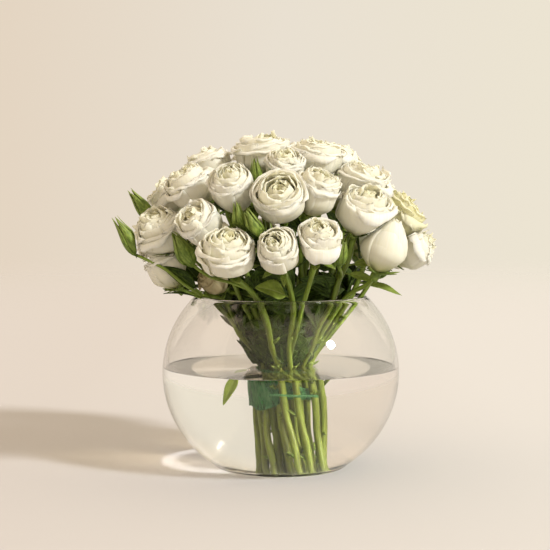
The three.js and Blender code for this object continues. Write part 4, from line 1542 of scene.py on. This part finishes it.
def build_turned(name, slot, node, outline, looks):
    """A turned piece. `looks` gives the material of each step of the outline."""
    points, faces = turned(outline)
    piece = Piece(name, slot, node)
    piece.points, piece.places = [points], [np.zeros((len(points), 3))]
    for index, face in enumerate(faces):
        material = looks[index % (len(outline) - 1)]
        if material not in piece.materials:
            piece.materials.append(material)
        piece.faces.append(list(face))
        piece.looks.append(piece.materials.index(material))
        piece.smooth.append(True)
    return piece.build()


bowl_looks = [GLASS] * dry_count + [WET_GLASS] * (len(bowl_outline) - dry_count)
build_turned("glass_bowl", "bowl_glass", "bowl", bowl_outline, bowl_looks)
brim = shell_radius(WATER_LEVEL + MENISCUS, BOWL_WALL + WATER_INSET)
climb = [(brim - 4 * t, WATER_LEVEL + MENISCUS * (1 - t) ** 3) for t in np.linspace(0, 1, 12)]
water_side = hollow(WATER_INSET)[:-1]
water_outline = water_side + climb + [(0, WATER_LEVEL)]
water_looks = [WATER_SIDE] * len(water_side) + [WATER] * (len(climb) - 1) + [WATER_TOP]
build_turned("water_body", "water", "water", water_outline, water_looks)
print("made the bowl and the water")

# %% [markdown]
# ## The paper
# The piece stands on pale paper that runs on without a horizon, from wherever it is seen. So the paper
# is opaque near the piece and fades out far from it, into a room of nearly the same colour. A curved
# sweep is the usual way, but it would catch the low sun on its curve and glare. Near the piece the paper
# is painted a little lighter towards the right, the sun's side: painted light.

# %% Paper
# The paper runs from darker on the left to lighter on the right: painted light from the sun's side.
PAPER_LEFT, PAPER_RIGHT = "#C1BDBD", "#CACACC"
PAPER_RADIUS = 5.0  # metres, as are all lengths of the studio, apart from those times MM
PAPER_CORNERS = 96
PAINTED_LIGHT_REACH = 0.25  # the tone changes from left to right within this distance of the piece
FADE_START, FADE_END = 1.2, 4.5


def pale_paper():
    material, output = new_material("cream paper, matt")
    where = add_node(material, "NewGeometry").outputs["Position"]
    sideways = add_node(material, "SeparateXYZ", {"Vector": where}).outputs["X"]
    across = {"Value": sideways, "From Min": -PAINTED_LIGHT_REACH, "From Max": PAINTED_LIGHT_REACH}
    rightward = add_node(material, "MapRange", across).outputs["Result"]
    # Lighter towards the right, the sun's side: painted light.
    sunward_painted_light = ramp(material, rightward, [(0.0, PAPER_LEFT), (1.0, PAPER_RIGHT)])
    matt = {"Base Color": sunward_painted_light, "Roughness": 0.9, "Specular IOR Level": 0.2}
    surface = add_node(material, "BsdfPrincipled", matt)
    away = add_node(material, "VectorMath", {0: where}, operation="LENGTH").outputs["Value"]
    far = {"Value": away, "From Min": FADE_START, "From Max": FADE_END}
    fade = add_node(material, "MapRange", far, interpolation_type="SMOOTHSTEP").outputs["Result"]
    nothing = add_node(material, "BsdfTransparent")
    either = {0: fade, 1: surface.outputs[0], 2: nothing.outputs[0]}
    show(material, output, add_node(material, "MixShader", either))
    return material


def flat_mesh(name, corners, material):
    """One face with the given corners, in metres."""
    mesh = bpy.data.meshes.new(name)
    mesh.from_pydata(corners, [], [tuple(range(len(corners)))])
    mesh.materials.append(material)
    return mesh


corner_turns = np.linspace(0, 2 * math.pi, PAPER_CORNERS, endpoint=False)
corners = [(PAPER_RADIUS * math.cos(t), PAPER_RADIUS * math.sin(t), 0) for t in corner_turns]
paper = placed("paper", flat_mesh("paper", corners, pale_paper()))
print("the paper is", 2 * PAPER_RADIUS, "m across")

# %% [markdown]
# ## The sun
# A low sun comes in from the right and the front. It gives the petals their shape and throws the long
# shadow. It is wider than the real sun's half a degree, as behind a thin curtain, so the shadow's edge is
# soft. An area lamp would do close by, but a sun lights the far paper just as evenly.

# %% Sun
SUN_FROM = Vector((0.71, -0.475, 0.52))
SUN_STRENGTH = 3.05
SUN_WIDTH = 8  # degrees
SUN_COLOUR = (1.0, 1.0, 0.98)

sun_lamp = bpy.data.lights.new("sun", "SUN")
sun_lamp.energy = SUN_STRENGTH
sun_lamp.angle = math.radians(SUN_WIDTH)
sun_lamp.color = SUN_COLOUR
sun = placed("sun", sun_lamp)
sun.rotation_mode = "QUATERNION"
sun.rotation_quaternion = SUN_FROM.to_track_quat("Z", "Y")
print("lit from", tuple(round(v, 2) for v in SUN_FROM))

# %% [markdown]
# ## A black card
# Clear glass in front of dark leaves mirrors whatever is pale in the room. A photographer stands a black
# card there, so that the glass stays clear to look through. Only mirrored rays meet this one: the camera
# doesn't see it, and it takes no light from the flowers.

# %% Black card
CARD_LEFT, CARD_RIGHT = -2.6, 0.9
CARD_FOOT, CARD_HEAD = -1.9, -1.2  # it leans towards the piece
CARD_HEIGHT = 3.6
OTHER_RAYS = ("camera", "diffuse", "transmission", "shadow", "volume_scatter")

velvet, velvet_output = new_material("black velvet")
dull_black = {"Base Color": linear("#101114"), "Roughness": 0.9, "Specular IOR Level": 0.1}
show(velvet, velvet_output, add_node(velvet, "BsdfPrincipled", dull_black))
card_corners = [
    (CARD_LEFT, CARD_FOOT, 0.0),
    (CARD_RIGHT, CARD_FOOT, 0.0),
    (CARD_RIGHT, CARD_HEAD, CARD_HEIGHT),
    (CARD_LEFT, CARD_HEAD, CARD_HEIGHT),
]
flag = placed("black_card", flat_mesh("black_card", card_corners, velvet))
for kind_of_ray in OTHER_RAYS:
    setattr(flag, "visible_" + kind_of_ray, False)
print("the card is", round(CARD_RIGHT - CARD_LEFT, 2), "m wide")

# %% [markdown]
# ## Gathered sunlight
# The bowl of water works as a lens, and gathers sunlight into a bright ring on the paper. Paths that bend
# through glass and water towards a small sun are too rare for the renderer to draw it. So a lamp that
# lights only the paper stands in for it, brightest near the edge of its cone, as such a ring is.

# %% Gathered sunlight
RING_CENTRE = (-45, 25)
RING_RADIUS = 62
RING_LAMP_HEIGHT = 60
RING_STRENGTH = 0.36
RING_CONE = 1.3  # the lamp's cone is this much wider than the ring
RING_TONES = [(0.0, "#484848"), (0.66, "#505050"), (0.86, "#D8D8D8"), (0.93, "#B0B0B0"), (1.0, "#000000")]

ring_lamp = bpy.data.lights.new("gathered sunlight", "SPOT")
ring_lamp.energy = RING_STRENGTH
ring_lamp.spot_size = 2 * math.atan(RING_CONE * RING_RADIUS / RING_LAMP_HEIGHT)
ring_lamp.spot_blend = 0.0
ring_lamp.shadow_soft_size = 0.0
ring_lamp.use_shadow = False
ring_lamp.use_nodes = True
ray = add_node(ring_lamp, "TexCoord").outputs["Normal"]
split = add_node(ring_lamp, "SeparateXYZ", {"Vector": ray}).outputs
flat_ray = add_node(ring_lamp, "CombineXYZ", {"X": split["X"], "Y": split["Y"]}).outputs["Vector"]
sideways = add_node(ring_lamp, "VectorMath", {0: flat_ray}, operation="LENGTH").outputs["Value"]
downward = add_node(ring_lamp, "Math", {0: split["Z"]}, operation="ABSOLUTE").outputs[0]
out = add_node(ring_lamp, "Math", {0: sideways, 1: downward}, operation="DIVIDE").outputs[0]
to_edge = {"Value": out, "From Max": RING_RADIUS / RING_LAMP_HEIGHT}
reach = add_node(ring_lamp, "MapRange", to_edge).outputs["Result"]
glow = ramp(ring_lamp, reach, RING_TONES)
ring_lamp.node_tree.links.new(glow, ring_lamp.node_tree.nodes["Emission"].inputs["Color"])
gathered = placed("gathered_sunlight", ring_lamp)
gathered.location = (RING_CENTRE[0] * MM, RING_CENTRE[1] * MM, RING_LAMP_HEIGHT * MM)
paper_only = bpy.data.collections.new("paper only")
paper_only.objects.link(paper)
gathered.light_linking.receiver_collection = paper_only
print("the ring is", 2 * RING_RADIUS, "mm across")

# %% [markdown]
# ## The room
# The room is cream too, a little brighter and cooler on the side that the sun comes from, and brighter
# and warmer overhead, where a white ceiling would be. It fills the shadows. An area lamp would do that
# as well, but it would show in the glass as a hard-edged patch.

# %% Room
ROOM_LEFT, ROOM_MIDDLE, ROOM_RIGHT = "#E4D5C2", "#E9E0D1", "#ECE4D2"
ROOM_TURN = 0.2  # the tone changes from left to right between minus this and this, as a share of the way
CEILING_EDGE, CEILING = 0.3, 0.8  # where overhead starts, and where it is full, as the sine of its height
CEILING_TINT = "#FFF6E8"
CEILING_GLOW = 1.35  # how much brighter the room is overhead than at the horizon

room = bpy.data.worlds.new("cream room")
room.use_nodes = True
background = room.node_tree.nodes["Background"]
direction = add_node(room, "TexCoord").outputs["Generated"]
way = add_node(room, "SeparateXYZ", {"Vector": direction}).outputs
across = {"Value": way["X"], "From Min": -ROOM_TURN, "From Max": ROOM_TURN}
rightward = add_node(room, "MapRange", across).outputs["Result"]
level = ramp(room, rightward, [(0.0, ROOM_LEFT), (0.5, ROOM_MIDDLE), (1.0, ROOM_RIGHT)])
above = {"Value": way["Z"], "From Min": CEILING_EDGE, "From Max": CEILING}
overhead = add_node(room, "MapRange", above).outputs["Result"]
warmed = mixed(room, 1.0, level, linear(CEILING_TINT), "MULTIPLY")
brighter = {**above, "To Min": 1.0, "To Max": CEILING_GLOW}
upward = add_node(room, "MapRange", brighter).outputs["Result"]
cream = mixed(room, overhead, level, warmed)
room.node_tree.links.new(cream, background.inputs["Color"])
room.node_tree.links.new(upward, background.inputs["Strength"])
bpy.context.scene.world = room
bpy.context.scene.view_settings.view_transform = "Standard"
print("overhead the room is", CEILING_GLOW, "times as bright")
